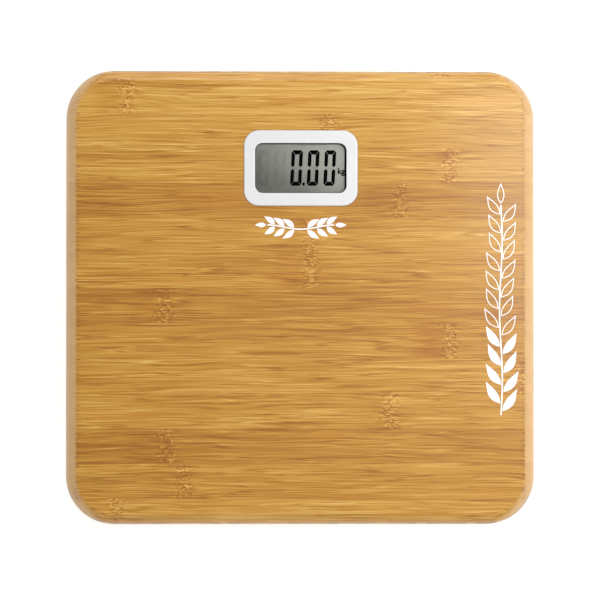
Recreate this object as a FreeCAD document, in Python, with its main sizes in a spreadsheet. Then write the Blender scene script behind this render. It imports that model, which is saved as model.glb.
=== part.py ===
"""Digital bathroom scale: a bamboo platform on four load-cell feet, with a display module let into it.

Frame: millimetres, +Z up, origin on the floor under the middle of the platform. +Y points to the display,
which is at the toe side of the platform, and +X to the right of a person who stands on it.
Bodies are drawn at their own height above the floor, so a Placement only moves them in X and Y.
"""

import FreeCAD
import Part
import Sketcher
import math
import os
import re

DIMENSIONS = {
    # platform: a three-ply laminated bamboo board
    "board_length": 310,
    "board_width": 300,
    "board_thick": 18,
    "corner_radius": 32,
    "edge_run": 7,
    "edge_arc": 10,
    "under_edge": 2,
    "ground_gap": 7,
    "fit_gap": 0.15,
    # display frame, seen from above
    "display_y": 85.2,
    "flange_length": 75.2,
    "flange_width": 50,
    "flange_radius": 10,
    "flange_thick": 2.3,
    "flange_edge": 0.9,
    "rebate_depth": 1.5,
    "window_length": 60.4,
    "window_width": 33,
    "window_radius": 5,
    "window_edge": 0.4,
    "neck_length": 67.6,
    "neck_width": 41.6,
    "neck_radius": 3,
    "neck_wall": 1.6,
    "neck_depth": 6.8,
    "neck_gap": 0.2,
    "barb_length": 6,
    "barb_reach": 0.8,
    "barb_height": 1.2,
    "barb_spacing": 36,
    "barb_gap": 0.1,
    # window and liquid crystal display, below the frame's top web
    "web_thick": 1.5,
    "lens_length": 64,
    "lens_width": 38,
    "lens_thick": 1.2,
    "lens_corner": 1,
    "glass_length": 62,
    "glass_width": 36,
    "front_glass_thick": 1.25,
    "rear_glass_thick": 1.1,
    "glass_ledge": 3,
    "glass_corner": 0.3,
    "glass_gap": 0.1,
    "reflector_thick": 0.25,
    "carrier_lip": 0.6,
    "carrier_rim_length": 63.8,
    "carrier_rim_width": 37.8,
    "carrier_rim_corner": 1,
    "carrier_base_thick": 1,
    "recess_corner": 0.5,
    "aperture_corner": 4.2,
    "mask_left": 0.3,
    "mask_right": 1.1,
    "mask_top": 0.7,
    "mask_bottom": 0.3,
    "strip_length": 54,
    "strip_width": 2,
    "foam_width": 3,
    "foam_inset": 4,
    "reflector_inset": 0.5,
    # circuit board
    "board_hole_x": 40,
    "board_hole_y": 21,
    "pcb_length": 90,
    "pcb_width": 50,
    "pcb_thick": 1.2,
    "pcb_corner": 2,
    "pcb_depth": 8.6,
    "spacer_radius": 3,
    "chip_radius": 6,
    "chip_height": 1.3,
    "chip_flat": 0.1,
    "chip_x": -14,
    "chip_from_display": 3,
    # pocket and cover under the platform
    "pocket_y": 74.5,
    "pocket_length": 100,
    "pocket_width": 83,
    "pocket_radius": 4,
    "pocket_depth": 12.4,
    "cover_length": 120,
    "cover_width": 101,
    "cover_radius": 8,
    "cover_thick": 2,
    "cover_edge": 0.8,
    "cover_rib_height": 2.5,
    "cover_rib_wall": 1.5,
    "cover_rib_gap": 0.3,
    "cover_screw_inset": 4.7,
    "counterbore_radius": 3,
    "counterbore_depth": 1,
    # battery bay, door and cells (two AAA cells side by side)
    "bay_y": 47.4,
    "bay_inner_length": 58,
    "bay_inner_width": 22.4,
    "bay_wall": 1.2,
    "bay_roof": 0.9,
    "bay_height": 12,
    "bay_corner": 1,
    "bay_root": 0.5,
    "contact_room": 51,
    "contact_rib": 1,
    "door_gap": 0.3,
    "door_end_gap": 0.3,
    "rail_ledge": 1,
    "door_length": 36,
    "door_face_width": 54.4,
    "door_tongue_width": 57.4,
    "door_face_thick": 1.1,
    "door_thick": 1.85,
    "tongue_inset": 0.5,
    "grip_length": 24,
    "grip_width": 1,
    "grip_depth": 0.4,
    "grip_pitch": 2.2,
    "grip_start": 5,
    "cell_radius": 5.25,
    "cell_length": 43.7,
    "cell_nub_radius": 1.9,
    "cell_nub_height": 0.8,
    "cell_edge": 0.5,
    "cell_spacing": 11.1,
    "cell_height": 12.55,
    "contact_thick": 0.5,
    "contact_width": 9.4,
    "contact_height": 8.3,
    "spring_wire": 0.3,
    "spring_radius": 2.8,
    "spring_pitch": 1.15,
    "spring_gap": 0.05,
    # unit button and the switch behind it
    "button_x": 32,
    "button_y": 96,
    "button_radius": 4,
    "button_gap": 0.3,
    "button_proud": 0.6,
    "button_flange_radius": 5.6,
    "button_flange_low": 0.2,
    "button_flange_high": 1,
    "button_dish": 0.4,
    "button_stem_radius": 2.2,
    "switch_side": 6,
    "switch_height": 3.4,
    "switch_corner": 0.5,
    "plunger_radius": 1.7,
    "plunger_out": 1.3,
    "plunger_in": 0.3,
    "plunger_gap": 0.15,
    "switch_travel_room": 1.1,
    # load-cell feet
    "foot_x": 115,
    "foot_y": 109,
    "socket_radius": 25,
    "socket_depth": 9,
    "housing_radius": 24.8,
    "housing_flange_radius": 31,
    "housing_flange_thick": 1.6,
    "housing_chamfer": 0.6,
    "housing_bore": 22.8,
    "housing_lip_radius": 21.4,
    "housing_lip_thick": 1.4,
    "housing_base": 2,
    "seat_side": 33,
    "seat_inner_side": 26,
    "seat_corner": 6,
    "seat_inner_corner": 3,
    "seat_height": 1.4,
    "cell_side": 33.6,
    "cell_corner": 7,
    "cell_thick": 2.6,
    "tongue_width": 14,
    "tongue_slot": 4,
    "tongue_root": 12.5,
    "tongue_tip": 9,
    "gauge_length": 4.5,
    "gauge_width": 6,
    "gauge_thick": 0.4,
    "gauge_corner": 0.3,
    "gauge_from_boss": 1,
    "carrier_radius": 20.8,
    "carrier_bottom": 1.6,
    "carrier_floor": 2,
    "carrier_wall": 1.4,
    "carrier_top": 8,
    "carrier_boss": 6,
    "carrier_chamfer": 0.7,
    "hook_length": 6,
    "hook_reach": 1.4,
    "hook_root": 0.6,
    "hook_height": 0.9,
    "pad_radius": 18.5,
    "pad_thick": 2.4,
    "pad_edge": 0.8,
    "pad_gap": 0.2,
    "pad_groove_radius": 12.5,
    "pad_groove_width": 1.5,
    "pad_groove_depth": 0.6,
    # channels for the load cells' leads
    "channel_width": 5,
    "channel_depth": 5,
    "channel_overrun": 4,
    "strip_cover_width": 9.4,
    "strip_cover_thick": 1.2,
    "strip_socket_gap": 0.3,
    "strip_pocket_gap": 3.7,
    "lead_radius": 0.55,
    "lead_pitch": 1.3,
    "lead_height": 10.6,
    "lead_exit_height": 9.4,
    "heel_channel_x": 42,
    "lead_pad_x": 35,
    "lead_bend": 10,
    "lead_slot_length": 4,
    "lead_slot_height": 3.4,
    "lead_slot_drop": 1,
    "lead_slot_inset": 1.5,
    "lead_hole": 1.6,
    "lead_hole_length": 3,
    "lead_hole_inset": 0.4,
    "lead_exit_length": 4,
    "lead_lane": 1.25,
    "black_lead_drop": 3.5,
    "red_pad_x": 30,
    "black_pad_x": 25.5,
    "lead_from_gauge": 0.3,
    "lead_from_cell": 1.5,
    "lead_from_socket": 2,
    "heel_pad_inset": 3,
    "battery_pad_inset": 5,
    "battery_lead_turn": 1,
    # screws
    "screw_gap": 0.05,
    "screw_hole_gap": 0.2,
    "pilot_extra": 0.2,
    "housing_screw_circle": 27.9,
    "housing_screw_radius": 1.3,
    "housing_screw_head": 2.6,
    "housing_screw_head_height": 1.5,
    "housing_screw_length": 9,
    "cover_screw_radius": 1.3,
    "cover_screw_head": 2.7,
    "cover_screw_head_height": 1.1,
    "cover_screw_length": 9,
    "pcb_screw_radius": 1,
    "pcb_screw_head": 2.1,
    "pcb_screw_head_height": 1.4,
    "pcb_screw_length": 7,
}

# Heights above the floor, as formulas of the cells.
UNDERSIDE = "ground_gap"
TOP = "(ground_gap + board_thick)"
REBATE = "(ground_gap + board_thick - rebate_depth)"
LENS_TOP = "(ground_gap + board_thick - rebate_depth + flange_thick - web_thick)"
LENS_BOTTOM = f"({LENS_TOP} - lens_thick)"
NECK_BOTTOM = f"({LENS_TOP} - neck_depth)"
GLASS_TOP = f"({LENS_BOTTOM} - carrier_lip)"
GLASS_SPLIT = f"({GLASS_TOP} - front_glass_thick)"
REFLECTOR_TOP = f"({GLASS_SPLIT} - rear_glass_thick)"
REFLECTOR_BOTTOM = f"({REFLECTOR_TOP} - reflector_thick)"
POCKET_ROOF = "(ground_gap + pocket_depth)"
PCB_TOP = "(ground_gap + board_thick - pcb_depth)"
PCB_BOTTOM = f"({PCB_TOP} - pcb_thick)"
COVER_BOTTOM = "(ground_gap - cover_thick)"
SWITCH_BOTTOM = f"({PCB_BOTTOM} - switch_height)"
PLUNGER_BOTTOM = f"({SWITCH_BOTTOM} - plunger_out)"
BUTTON_BOTTOM = f"({COVER_BOTTOM} - button_proud)"
FLANGE_BOTTOM = "(ground_gap - housing_flange_thick)"
SOCKET_ROOF = "(ground_gap + socket_depth)"
HOUSING_BASE = f"({SOCKET_ROOF} - housing_base)"
CELL_TOP = f"({HOUSING_BASE} - seat_height)"
CELL_BOTTOM = f"({CELL_TOP} - cell_thick)"

# Where the battery leads run beside the bay, and the height of the black one.
LEAD_LANE_X = "(contact_room / 2 + contact_rib + lead_lane)"
BLACK_LEAD = "(cell_height - black_lead_drop)"

# The corners that the feet stand in: name, side in X, side in Y.
CORNERS = (
    ("toe_left", -1, 1),
    ("toe_right", 1, 1),
    ("heel_left", -1, -1),
    ("heel_right", 1, -1),
)

# Small parts under the circuit board: length, width and height, then places from the display's middle.
CHIPS = {
    "chip_capacitors": ((2, 1.25, 1), ((-28, 10), (-28, 6), (-28, 2), (2, 12), (6, 12), (10, 12))),
    "chip_resistors": (
        (1.6, 0.8, 0.5),
        ((-28, -4), (-28, -7), (-28, -10), (4, -6), (8, -6), (12, -6), (16, -6)),
    ),
    "clock_crystal": ((5, 3.2, 1.1), ((2, 2),)),
}

# A screw's shape, as shares: the head's flat and its edge's height, the point's length and end, and the
# recess's length, width and depth.
HEAD_FLAT = 0.75
HEAD_EDGE = 0.45
POINT_LENGTH = 1.5
POINT_END = 0.2
RECESS_LENGTH = 1.1
RECESS_WIDTH = 0.22
RECESS_DEPTH = 0.6

# The unit button's dish, as shares of its radius: the flat in the middle and the rim round it.
DISH_FLAT = 0.6
DISH_RIM = 0.85

SCREWS_PER_HOUSING = 3
FIRST_SCREW_ANGLE = 60
HOOKS_PER_FOOT = 3
GRIPS = 6
LEADS_PER_CELL = 3

# How far a cutter starts outside what it cuts, in mm.
OVERSHOOT = 1

V = FreeCAD.Vector
doc = FreeCAD.newDocument("BathroomScale")
sheet = doc.addObject("Spreadsheet::Sheet", "Dims")
for row, (alias, number) in enumerate(DIMENSIONS.items(), start=1):
    sheet.set(f"A{row}", alias)
    sheet.set(f"B{row}", str(number))
    sheet.setAlias(f"B{row}", alias)
doc.recompute()


# ---- formulas -------------------------------------------------------------------------------------------


def formula(text):
    """The text with every cell's name made a reference to the sheet."""

    def reference(match):
        word = match.group()
        return f"Dims.{word}" if word in DIMENSIONS else word

    return re.sub(r"[a-z_]+", reference, str(text))


def value(text):
    """The number that a formula has now."""
    result = sheet.evalExpression(formula(text))
    return float(getattr(result, "Value", result))


def bind(thing, path, text):
    thing.setExpression(path, formula(text))


def place(thing, x="0", y="0", z="0"):
    for axis, text in (("x", x), ("y", y), ("z", z)):
        bind(thing, f"Placement.Base.{axis}", text)


# ---- sketches -------------------------------------------------------------------------------------------


def new_body(label):
    body = doc.addObject("PartDesign::Body", label)
    body.Label = label
    return body


def origin_feature(body, role):
    return next(f for f in body.Origin.OriginFeatures if f.Role == role)


def new_sketch(body, name, role="XY_Plane", x="0", y="0", z="0", turn=None):
    sketch = body.newObject("Sketcher::SketchObject", name)
    sketch.AttachmentSupport = (origin_feature(body, role), [""])
    sketch.MapMode = "FlatFace"
    for axis, text in (("x", x), ("y", y), ("z", z)):
        bind(sketch, f"AttachmentOffset.Base.{axis}", text)
    if turn is not None:
        sketch.AttachmentOffset.Rotation.Axis = V(0, 0, 1)
        bind(sketch, "AttachmentOffset.Rotation.Angle", turn)
    return sketch


def constrain(sketch, kind, geometry, text):
    number = sketch.addConstraint(Sketcher.Constraint(kind, *geometry, value(text)))
    bind(sketch, f"Constraints[{number}]", text)


def draw_rectangle(sketch, length, width, radius):
    """A rectangle centred on the sketch's origin, with round corners unless its radius is 0."""
    rounding = value(radius)
    right, top = value(length) / 2, value(width) / 2
    inner_x, inner_y = right - rounding, top - rounding
    sides = [
        (V(-inner_x, -top), V(inner_x, -top)),
        (V(right, -inner_y), V(right, inner_y)),
        (V(inner_x, top), V(-inner_x, top)),
        (V(-right, inner_y), V(-right, -inner_y)),
    ]
    centres = [V(inner_x, -inner_y), V(inner_x, inner_y), V(-inner_x, inner_y), V(-inner_x, -inner_y)]
    loop = []
    arcs = []
    for quarter, (side, centre) in enumerate(zip(sides, centres)):
        loop.append(sketch.addGeometry(Part.LineSegment(*side)))
        if rounding:
            circle = Part.Circle(centre, V(0, 0, 1), rounding)
            start = math.radians(90 * (quarter - 1))
            arcs.append(sketch.addGeometry(Part.ArcOfCircle(circle, start, start + math.pi / 2)))
            loop.append(arcs[-1])
    joint = "Tangent" if rounding else "Coincident"
    for first, second in zip(loop, loop[1:] + loop[:1]):
        sketch.addConstraint(Sketcher.Constraint(joint, first, 2, second, 1))
    lines = [n for n in loop if n not in arcs]
    for number, line in enumerate(lines):
        sketch.addConstraint(Sketcher.Constraint("Vertical" if number % 2 else "Horizontal", line))
    if rounding:
        for arc in arcs[1:]:
            sketch.addConstraint(Sketcher.Constraint("Equal", arcs[0], arc))
        sketch.addConstraint(Sketcher.Constraint("Symmetric", arcs[3], 3, arcs[1], 3, -1, 1))
        constrain(sketch, "Radius", (arcs[0],), radius)
    else:
        sketch.addConstraint(Sketcher.Constraint("Symmetric", lines[0], 1, lines[2], 1, -1, 1))
    constrain(sketch, "DistanceX", (lines[3], 1, lines[1], 2), length)
    constrain(sketch, "DistanceY", (lines[0], 2, lines[2], 1), width)


def draw_circle(sketch, radius):
    circle = sketch.addGeometry(Part.Circle(V(0, 0, 0), V(0, 0, 1), value(radius)))
    sketch.addConstraint(Sketcher.Constraint("Coincident", circle, 3, -1, 1))
    constrain(sketch, "Radius", (circle,), radius)


def draw_polygon(sketch, points):
    """A closed outline through points given as formulas, each held from the sketch's two axes."""
    numbers = [(value(x), value(y)) for x, y in points]
    lines = []
    for (x1, y1), (x2, y2) in zip(numbers, numbers[1:] + numbers[:1]):
        lines.append(sketch.addGeometry(Part.LineSegment(V(x1, y1), V(x2, y2))))
    for first, second in zip(lines, lines[1:] + lines[:1]):
        sketch.addConstraint(Sketcher.Constraint("Coincident", first, 2, second, 1))
    for line, (x, y), (number_x, number_y) in zip(lines, points, numbers):
        if number_x:
            constrain(sketch, "DistanceX", (-1, 1, line, 1), x)
        else:
            sketch.addConstraint(Sketcher.Constraint("PointOnObject", line, 1, -2))
        if number_y:
            constrain(sketch, "DistanceY", (-1, 1, line, 1), y)
        else:
            sketch.addConstraint(Sketcher.Constraint("PointOnObject", line, 1, -1))


# ---- features -------------------------------------------------------------------------------------------


def raise_from(body, sketch, height, cut=False):
    """A pad, or a pocket, that goes up from its sketch. A pocket that takes nothing away is an error."""
    before = body.Shape.Volume if cut else 0
    feature = body.newObject("PartDesign::Pocket" if cut else "PartDesign::Pad", sketch.Name + "_solid")
    feature.Profile = sketch
    feature.Reversed = cut
    bind(feature, "Length", height)
    sketch.Visibility = False
    if cut:
        doc.recompute()
        if body.Shape.Volume > before - 1e-6:
            raise ValueError(f"{body.Label}: {sketch.Name} cuts nothing")
    return feature


def block(body, name, length, width, radius, z, height, x="0", y="0", turn=None, cut=False):
    sketch = new_sketch(body, name, x=x, y=y, z=z, turn=turn)
    draw_rectangle(sketch, length, width, radius)
    return raise_from(body, sketch, height, cut)


def disc(body, name, radius, z, height, x="0", y="0", cut=False):
    sketch = new_sketch(body, name, x=x, y=y, z=z)
    draw_circle(sketch, radius)
    return raise_from(body, sketch, height, cut)


def turned(body, name, section):
    """A solid of revolution about Z from its half section, given as (radius, height) formulas."""
    sketch = new_sketch(body, name, role="XZ_Plane")
    draw_polygon(sketch, section)
    feature = body.newObject("PartDesign::Revolution", name + "_solid")
    feature.Profile = sketch
    feature.ReferenceAxis = (sketch, ["V_Axis"])
    feature.Angle = 360
    sketch.Visibility = False
    return feature


def around(body, feature, count, name):
    """Repeats a feature around the body's Z axis."""
    pattern = body.newObject("PartDesign::PolarPattern", name)
    pattern.Originals = [feature]
    pattern.Axis = (origin_feature(body, "Z_Axis"), [""])
    pattern.Angle = 360
    pattern.Occurrences = count
    body.Tip = pattern


def edges_at(body, height):
    """Names of the tip's edges that lie flat at a height."""
    level = value(height)
    names = []
    for number, edge in enumerate(body.Tip.Shape.Edges, start=1):
        heights = [v.Z for v in edge.Vertexes] + [edge.CenterOfMass.z]
        if max(abs(h - level) for h in heights) < 1e-4:
            names.append(f"Edge{number}")
    return names


def round_edges(body, name, names, radius):
    base = body.Tip
    feature = body.newObject("PartDesign::Fillet", name)
    feature.Base = (base, names)
    bind(feature, "Radius", radius)
    body.Tip = feature
    doc.recompute()


def outline_edges(body, height, length, width):
    """Names of the edges at a height that lie on the border of a centred length by width outline."""
    half_x, half_y = value(length) / 2, value(width) / 2
    offset = body_offset(body)
    names = []
    for name in edges_at(body, height):
        edge = body.Tip.Shape.Edges[int(name[4:]) - 1]
        points = [v.Point - offset for v in edge.Vertexes]
        if all(abs(abs(p.x) - half_x) < 1e-3 or abs(abs(p.y) - half_y) < 1e-3 for p in points):
            names.append(name)
    return names


def body_offset(body):
    """The middle of the body's outline in its own coordinates."""
    box = body.Tip.Shape.BoundBox
    return V(box.Center.x, box.Center.y, 0)


def gathered(label, members):
    """One named node that holds several separate solids."""
    group = doc.addObject("Part::Compound", label)
    group.Label = label
    group.Links = members
    return group


def linked(source, name, x, y, turn="0"):
    """A copy of a body somewhere else."""
    copy = doc.addObject("App::Link", name)
    copy.LinkedObject = source
    copy.Placement.Rotation = FreeCAD.Rotation(V(0, 0, 1), value(turn))
    place(copy, x, y)
    return copy


def screw_body(name, head_bottom, head_radius, head_height, shank_radius, shank_length):
    """A cross-recessed pan-head screw that points up."""
    body = new_body(name)
    shoulder = f"{head_bottom} + {head_height}"
    tip = f"{shoulder} + {shank_length}"
    section = [
        ("0", head_bottom),
        (f"{HEAD_FLAT} * {head_radius}", head_bottom),
        (head_radius, f"{head_bottom} + {HEAD_EDGE} * {head_height}"),
        (head_radius, shoulder),
        (shank_radius, shoulder),
        (shank_radius, f"{tip} - {POINT_LENGTH} * {shank_radius}"),
        (f"{POINT_END} * {shank_radius}", tip),
        ("0", tip),
    ]
    turned(body, name + "_section", section)
    doc.recompute()
    for number in range(2):
        block(
            body,
            f"{name}_slot_{number}",
            f"{RECESS_LENGTH} * {head_radius}",
            f"{RECESS_WIDTH} * {head_radius}",
            "0",
            head_bottom,
            f"{RECESS_DEPTH} * {head_height}",
            turn=str(90 * number),
            cut=True,
        )
    return body


# ---- platform -------------------------------------------------------------------------------------------


def corner_position(side_x, side_y):
    return f"{side_x} * foot_x", f"{side_y} * foot_y"


def channel(side_x, side_y):
    """A lead channel, from its foot's middle to its mouth in the pocket's wall.

    The middle is that of the cut, which runs on into the pocket so that its slanted end is open.
    """
    foot_x, foot_y = corner_position(side_x, side_y)
    if side_y > 0:
        end_x, end_y = f"{side_x} * pocket_length / 2", foot_y
    else:
        end_x, end_y = f"{side_x} * heel_channel_x", "pocket_y - pocket_width / 2"
    angle = math.atan2(value(end_y) - value(foot_y), value(end_x) - value(foot_x))
    return {
        "x": f"(({foot_x}) + ({end_x}) + {math.cos(angle):.9f} * channel_overrun) / 2",
        "y": f"(({foot_y}) + ({end_y}) + {math.sin(angle):.9f} * channel_overrun) / 2",
        "length": f"sqrt((({foot_x}) - ({end_x})) ^ 2 + (({foot_y}) - ({end_y})) ^ 2)",
        "turn": math.degrees(angle),
        "end": (value(end_x), value(end_y)),
    }


def platform_board():
    body = new_body("platform_board")
    block(body, "blank", "board_length", "board_width", "corner_radius", UNDERSIDE, "board_thick")
    doc.recompute()
    lower = edges_at(body, UNDERSIDE)
    round_edges(body, "lower_edge", lower, "under_edge")
    shape_upper_edge(body)
    block(
        body,
        "frame_rebate",
        "flange_length + 2 * fit_gap",
        "flange_width + 2 * fit_gap",
        "flange_radius + fit_gap",
        REBATE,
        f"rebate_depth + {OVERSHOOT}",
        y="display_y",
        cut=True,
    )
    block(
        body,
        "display_opening",
        "neck_length + 2 * neck_gap",
        "neck_width + 2 * neck_gap",
        "neck_radius + neck_gap",
        UNDERSIDE,
        "board_thick",
        y="display_y",
        cut=True,
    )
    block(
        body,
        "electronics_pocket",
        "pocket_length",
        "pocket_width",
        "pocket_radius",
        UNDERSIDE,
        "pocket_depth",
        y="pocket_y",
        cut=True,
    )
    for name, side_x, side_y in CORNERS:
        x, y = corner_position(side_x, side_y)
        disc(body, f"socket_{name}", "socket_radius", UNDERSIDE, "socket_depth", x, y, cut=True)
        lane = channel(side_x, side_y)
        for part, width, depth in (
            ("channel", "channel_width", "channel_depth"),
            ("strip_rebate", "strip_cover_width + 2 * fit_gap", "strip_cover_thick"),
        ):
            block(
                body,
                f"{part}_{name}",
                f"{lane['length']} + channel_overrun",
                width,
                "0",
                UNDERSIDE,
                depth,
                x=lane["x"],
                y=lane["y"],
                turn=lane["turn"],
                cut=True,
            )
    for number, (x, y) in enumerate(housing_screw_places()):
        disc(
            body,
            f"housing_pilot_{number}",
            "housing_screw_radius + screw_gap",
            UNDERSIDE,
            "housing_screw_length",
            x,
            y,
            cut=True,
        )
    for number, (x, y) in enumerate(cover_screw_places()):
        disc(
            body,
            f"cover_pilot_{number}",
            "cover_screw_radius + screw_gap",
            UNDERSIDE,
            "cover_screw_length",
            x,
            y,
            cut=True,
        )
    for number, (x, y) in enumerate(pcb_screw_places()):
        disc(
            body,
            f"circuit_pilot_{number}",
            "pcb_screw_radius + screw_gap",
            POCKET_ROOF,
            f"{PCB_BOTTOM} + pcb_screw_length + pilot_extra - {POCKET_ROOF}",
            x,
            y,
            cut=True,
        )
    return body


def shape_upper_edge(body):
    """The upper edge: an arc that is upright at the side and meets the top at a slight crease."""
    path = new_sketch(body, "edge_path", z=TOP)
    draw_rectangle(path, "board_length", "board_width", "corner_radius")
    profile = new_sketch(body, "edge_profile", role="XZ_Plane")
    side, top = value("board_length / 2"), value(TOP)
    run, radius = value("edge_run"), value("edge_arc")
    sweep = math.acos((radius - run) / radius)
    drop = radius * math.sin(sweep)
    clear = OVERSHOOT
    centre = V(side - radius, top - drop)
    arc = profile.addGeometry(Part.ArcOfCircle(Part.Circle(centre, V(0, 0, 1), radius), 0, sweep))
    corners = [
        V(side - run, top),
        V(side - run, top + clear),
        V(side + clear, top + clear),
        V(side + clear, top - drop),
        V(side, top - drop),
    ]
    lines = [profile.addGeometry(Part.LineSegment(*pair)) for pair in zip(corners, corners[1:])]
    chain = [(arc, 2, lines[0], 1)]
    chain += [(first, 2, second, 1) for first, second in zip(lines, lines[1:])]
    chain.append((lines[3], 2, arc, 1))
    for joint in chain:
        profile.addConstraint(Sketcher.Constraint("Coincident", *joint))
    for line, kind in zip(lines, ("Vertical", "Horizontal", "Vertical", "Horizontal")):
        profile.addConstraint(Sketcher.Constraint(kind, line))
    profile.addConstraint(Sketcher.Constraint("Horizontal", arc, 1, arc, 3))
    constrain(profile, "Radius", (arc,), "edge_arc")
    constrain(profile, "DistanceX", (-1, 1, arc, 1), "board_length / 2")
    constrain(profile, "DistanceX", (arc, 2, arc, 1), "edge_run")
    constrain(profile, "DistanceY", (-1, 1, arc, 2), TOP)
    constrain(profile, "DistanceX", (arc, 1, lines[2], 1), str(clear))
    constrain(profile, "DistanceY", (arc, 2, lines[2], 1), str(clear))
    before = body.Shape.Volume
    cut = body.newObject("PartDesign::SubtractivePipe", "upper_edge")
    cut.Profile = profile
    cut.Spine = path
    doc.recompute()
    if body.Shape.Volume > before - 1:
        raise ValueError("the upper edge's profile cuts nothing")
    for sketch in (path, profile):
        sketch.Visibility = False


# ---- display --------------------------------------------------------------------------------------------


def display_bezel():
    body = new_body("display_bezel")
    block(body, "flange", "flange_length", "flange_width", "flange_radius", REBATE, "flange_thick")
    block(body, "neck", "neck_length", "neck_width", "neck_radius", NECK_BOTTOM, f"{REBATE} - {NECK_BOTTOM}")
    for number, side in enumerate((-1, 1)):
        block(
            body,
            f"barbs_{number}",
            "barb_length",
            "neck_width + 2 * barb_reach",
            "0",
            f"{POCKET_ROOF} - barb_gap - barb_height",
            "barb_height",
            x=f"{side} * barb_spacing / 2",
        )
    doc.recompute()
    flange_top = f"{REBATE} + flange_thick"
    block(
        body,
        "cavity",
        "neck_length - 2 * neck_wall",
        "neck_width - 2 * neck_wall",
        "neck_radius - neck_wall",
        NECK_BOTTOM,
        "neck_depth",
        cut=True,
    )
    window_height = f"web_thick + {OVERSHOOT}"
    block(body, "window", "window_length", "window_width", "window_radius", LENS_TOP, window_height, cut=True)
    outer = outline_edges(body, flange_top, "flange_length", "flange_width")
    round_edges(body, "outer_edge", outer, "flange_edge")
    inner = outline_edges(body, flange_top, "window_length", "window_width")
    round_edges(body, "inner_edge", inner, "window_edge")
    place(body, y="display_y")
    return body


def display_plate(label, length, width, radius, bottom, thick, y="0"):
    body = new_body(label)
    block(body, label + "_outline", length, width, radius, bottom, thick)
    place(body, y=f"display_y + {y}")
    return body


def lcd_carrier():
    """The black frame that holds the glass, and shows as a thin border round it."""
    body = new_body("lcd_carrier")
    block(body, "base", "pcb_length", "pcb_width", "pcb_corner", PCB_TOP, "carrier_base_thick")
    base_top = f"({PCB_TOP} + carrier_base_thick)"
    block(
        body,
        "rim",
        "carrier_rim_length",
        "carrier_rim_width",
        "carrier_rim_corner",
        base_top,
        f"{LENS_BOTTOM} - {base_top}",
    )
    for number, (x, y) in enumerate(circuit_holes()):
        disc(body, f"spacer_{number}", "spacer_radius", base_top, f"{POCKET_ROOF} - {base_top}", x, y)
    doc.recompute()
    block(
        body,
        "glass_recess",
        "glass_length + 2 * glass_gap",
        "glass_width + 2 * glass_gap",
        "recess_corner",
        PCB_TOP,
        f"{GLASS_TOP} - {PCB_TOP}",
        cut=True,
    )
    block(
        body,
        "aperture",
        "window_length - mask_left - mask_right",
        "window_width - mask_top - mask_bottom",
        "aperture_corner",
        GLASS_TOP,
        f"carrier_lip + {OVERSHOOT}",
        x="(mask_left - mask_right) / 2",
        y="(mask_bottom - mask_top) / 2",
        cut=True,
    )
    for number, (x, y) in enumerate(circuit_holes()):
        radius = "pcb_screw_radius + screw_hole_gap"
        disc(body, f"screw_hole_{number}", radius, PCB_TOP, "board_thick", x, y, cut=True)
    place(body, y="display_y")
    return body


def circuit_holes():
    """Screw holes of the circuit board, from its middle."""
    sides = [(side_x, side_y) for side_x in (-1, 1) for side_y in (-1, 1)]
    return [(f"{side_x} * board_hole_x", f"{side_y} * board_hole_y") for side_x, side_y in sides]


def pcb_screw_places():
    return [(x, f"display_y + {y}") for x, y in circuit_holes()]


def main_pcb():
    body = new_body("main_pcb")
    block(body, "laminate", "pcb_length", "pcb_width", "pcb_corner", PCB_BOTTOM, "pcb_thick")
    doc.recompute()
    for number, (x, y) in enumerate(circuit_holes()):
        radius = "pcb_screw_radius + screw_hole_gap"
        disc(body, f"hole_{number}", radius, PCB_BOTTOM, "pcb_thick", x, y, cut=True)
    place(body, y="display_y")
    return body


def controller_glob_top():
    """The resin drop over the controller chip, which is bonded to the board without a package."""
    body = new_body("controller_glob_top")
    bottom = f"{PCB_BOTTOM} - chip_height"
    disc(body, "drop", "chip_radius", bottom, "chip_height")
    doc.recompute()
    round_edges(body, "drop_edge", edges_at(body, bottom), "chip_height - chip_flat")
    place(body, "chip_x", "display_y + chip_from_display")
    return body


def chips(label, size, places):
    """Small parts soldered under the board, as separate solids of one node."""
    length, width, height = size
    members = []
    for number, (x, y) in enumerate(places):
        chip = doc.addObject("Part::Box", f"{label}_{number}")
        bind(chip, "Length", length)
        bind(chip, "Width", width)
        bind(chip, "Height", height)
        place(chip, x, f"display_y + {y}", f"{PCB_BOTTOM} - {height}")
        members.append(chip)
    return gathered(label, members)


# ---- unit switch and button -----------------------------------------------------------------------------


def switch_body():
    body = new_body("switch_body")
    block(body, "case", "switch_side", "switch_side", "switch_corner", SWITCH_BOTTOM, "switch_height")
    doc.recompute()
    disc(body, "well", "plunger_radius + plunger_gap", SWITCH_BOTTOM, "switch_travel_room", cut=True)
    place(body, "button_x", "button_y")
    return body


def switch_plunger():
    body = new_body("switch_plunger")
    disc(body, "pin", "plunger_radius", PLUNGER_BOTTOM, "plunger_out + plunger_in")
    place(body, "button_x", "button_y")
    return body


def unit_button():
    body = new_body("unit_button")
    flange_bottom = "ground_gap + button_flange_low"
    flange_top = "ground_gap + button_flange_high"
    dish = f"{BUTTON_BOTTOM} + button_dish"
    section = [
        ("0", dish),
        (f"{DISH_FLAT} * button_radius", dish),
        (f"{DISH_RIM} * button_radius", BUTTON_BOTTOM),
        ("button_radius", dish),
        ("button_radius", flange_bottom),
        ("button_flange_radius", flange_bottom),
        ("button_flange_radius", flange_top),
        ("button_stem_radius", flange_top),
        ("button_stem_radius", PLUNGER_BOTTOM),
        ("0", PLUNGER_BOTTOM),
    ]
    turned(body, "button_section", section)
    place(body, "button_x", "button_y")
    return body


# ---- cover, battery bay and door ------------------------------------------------------------------------


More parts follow.
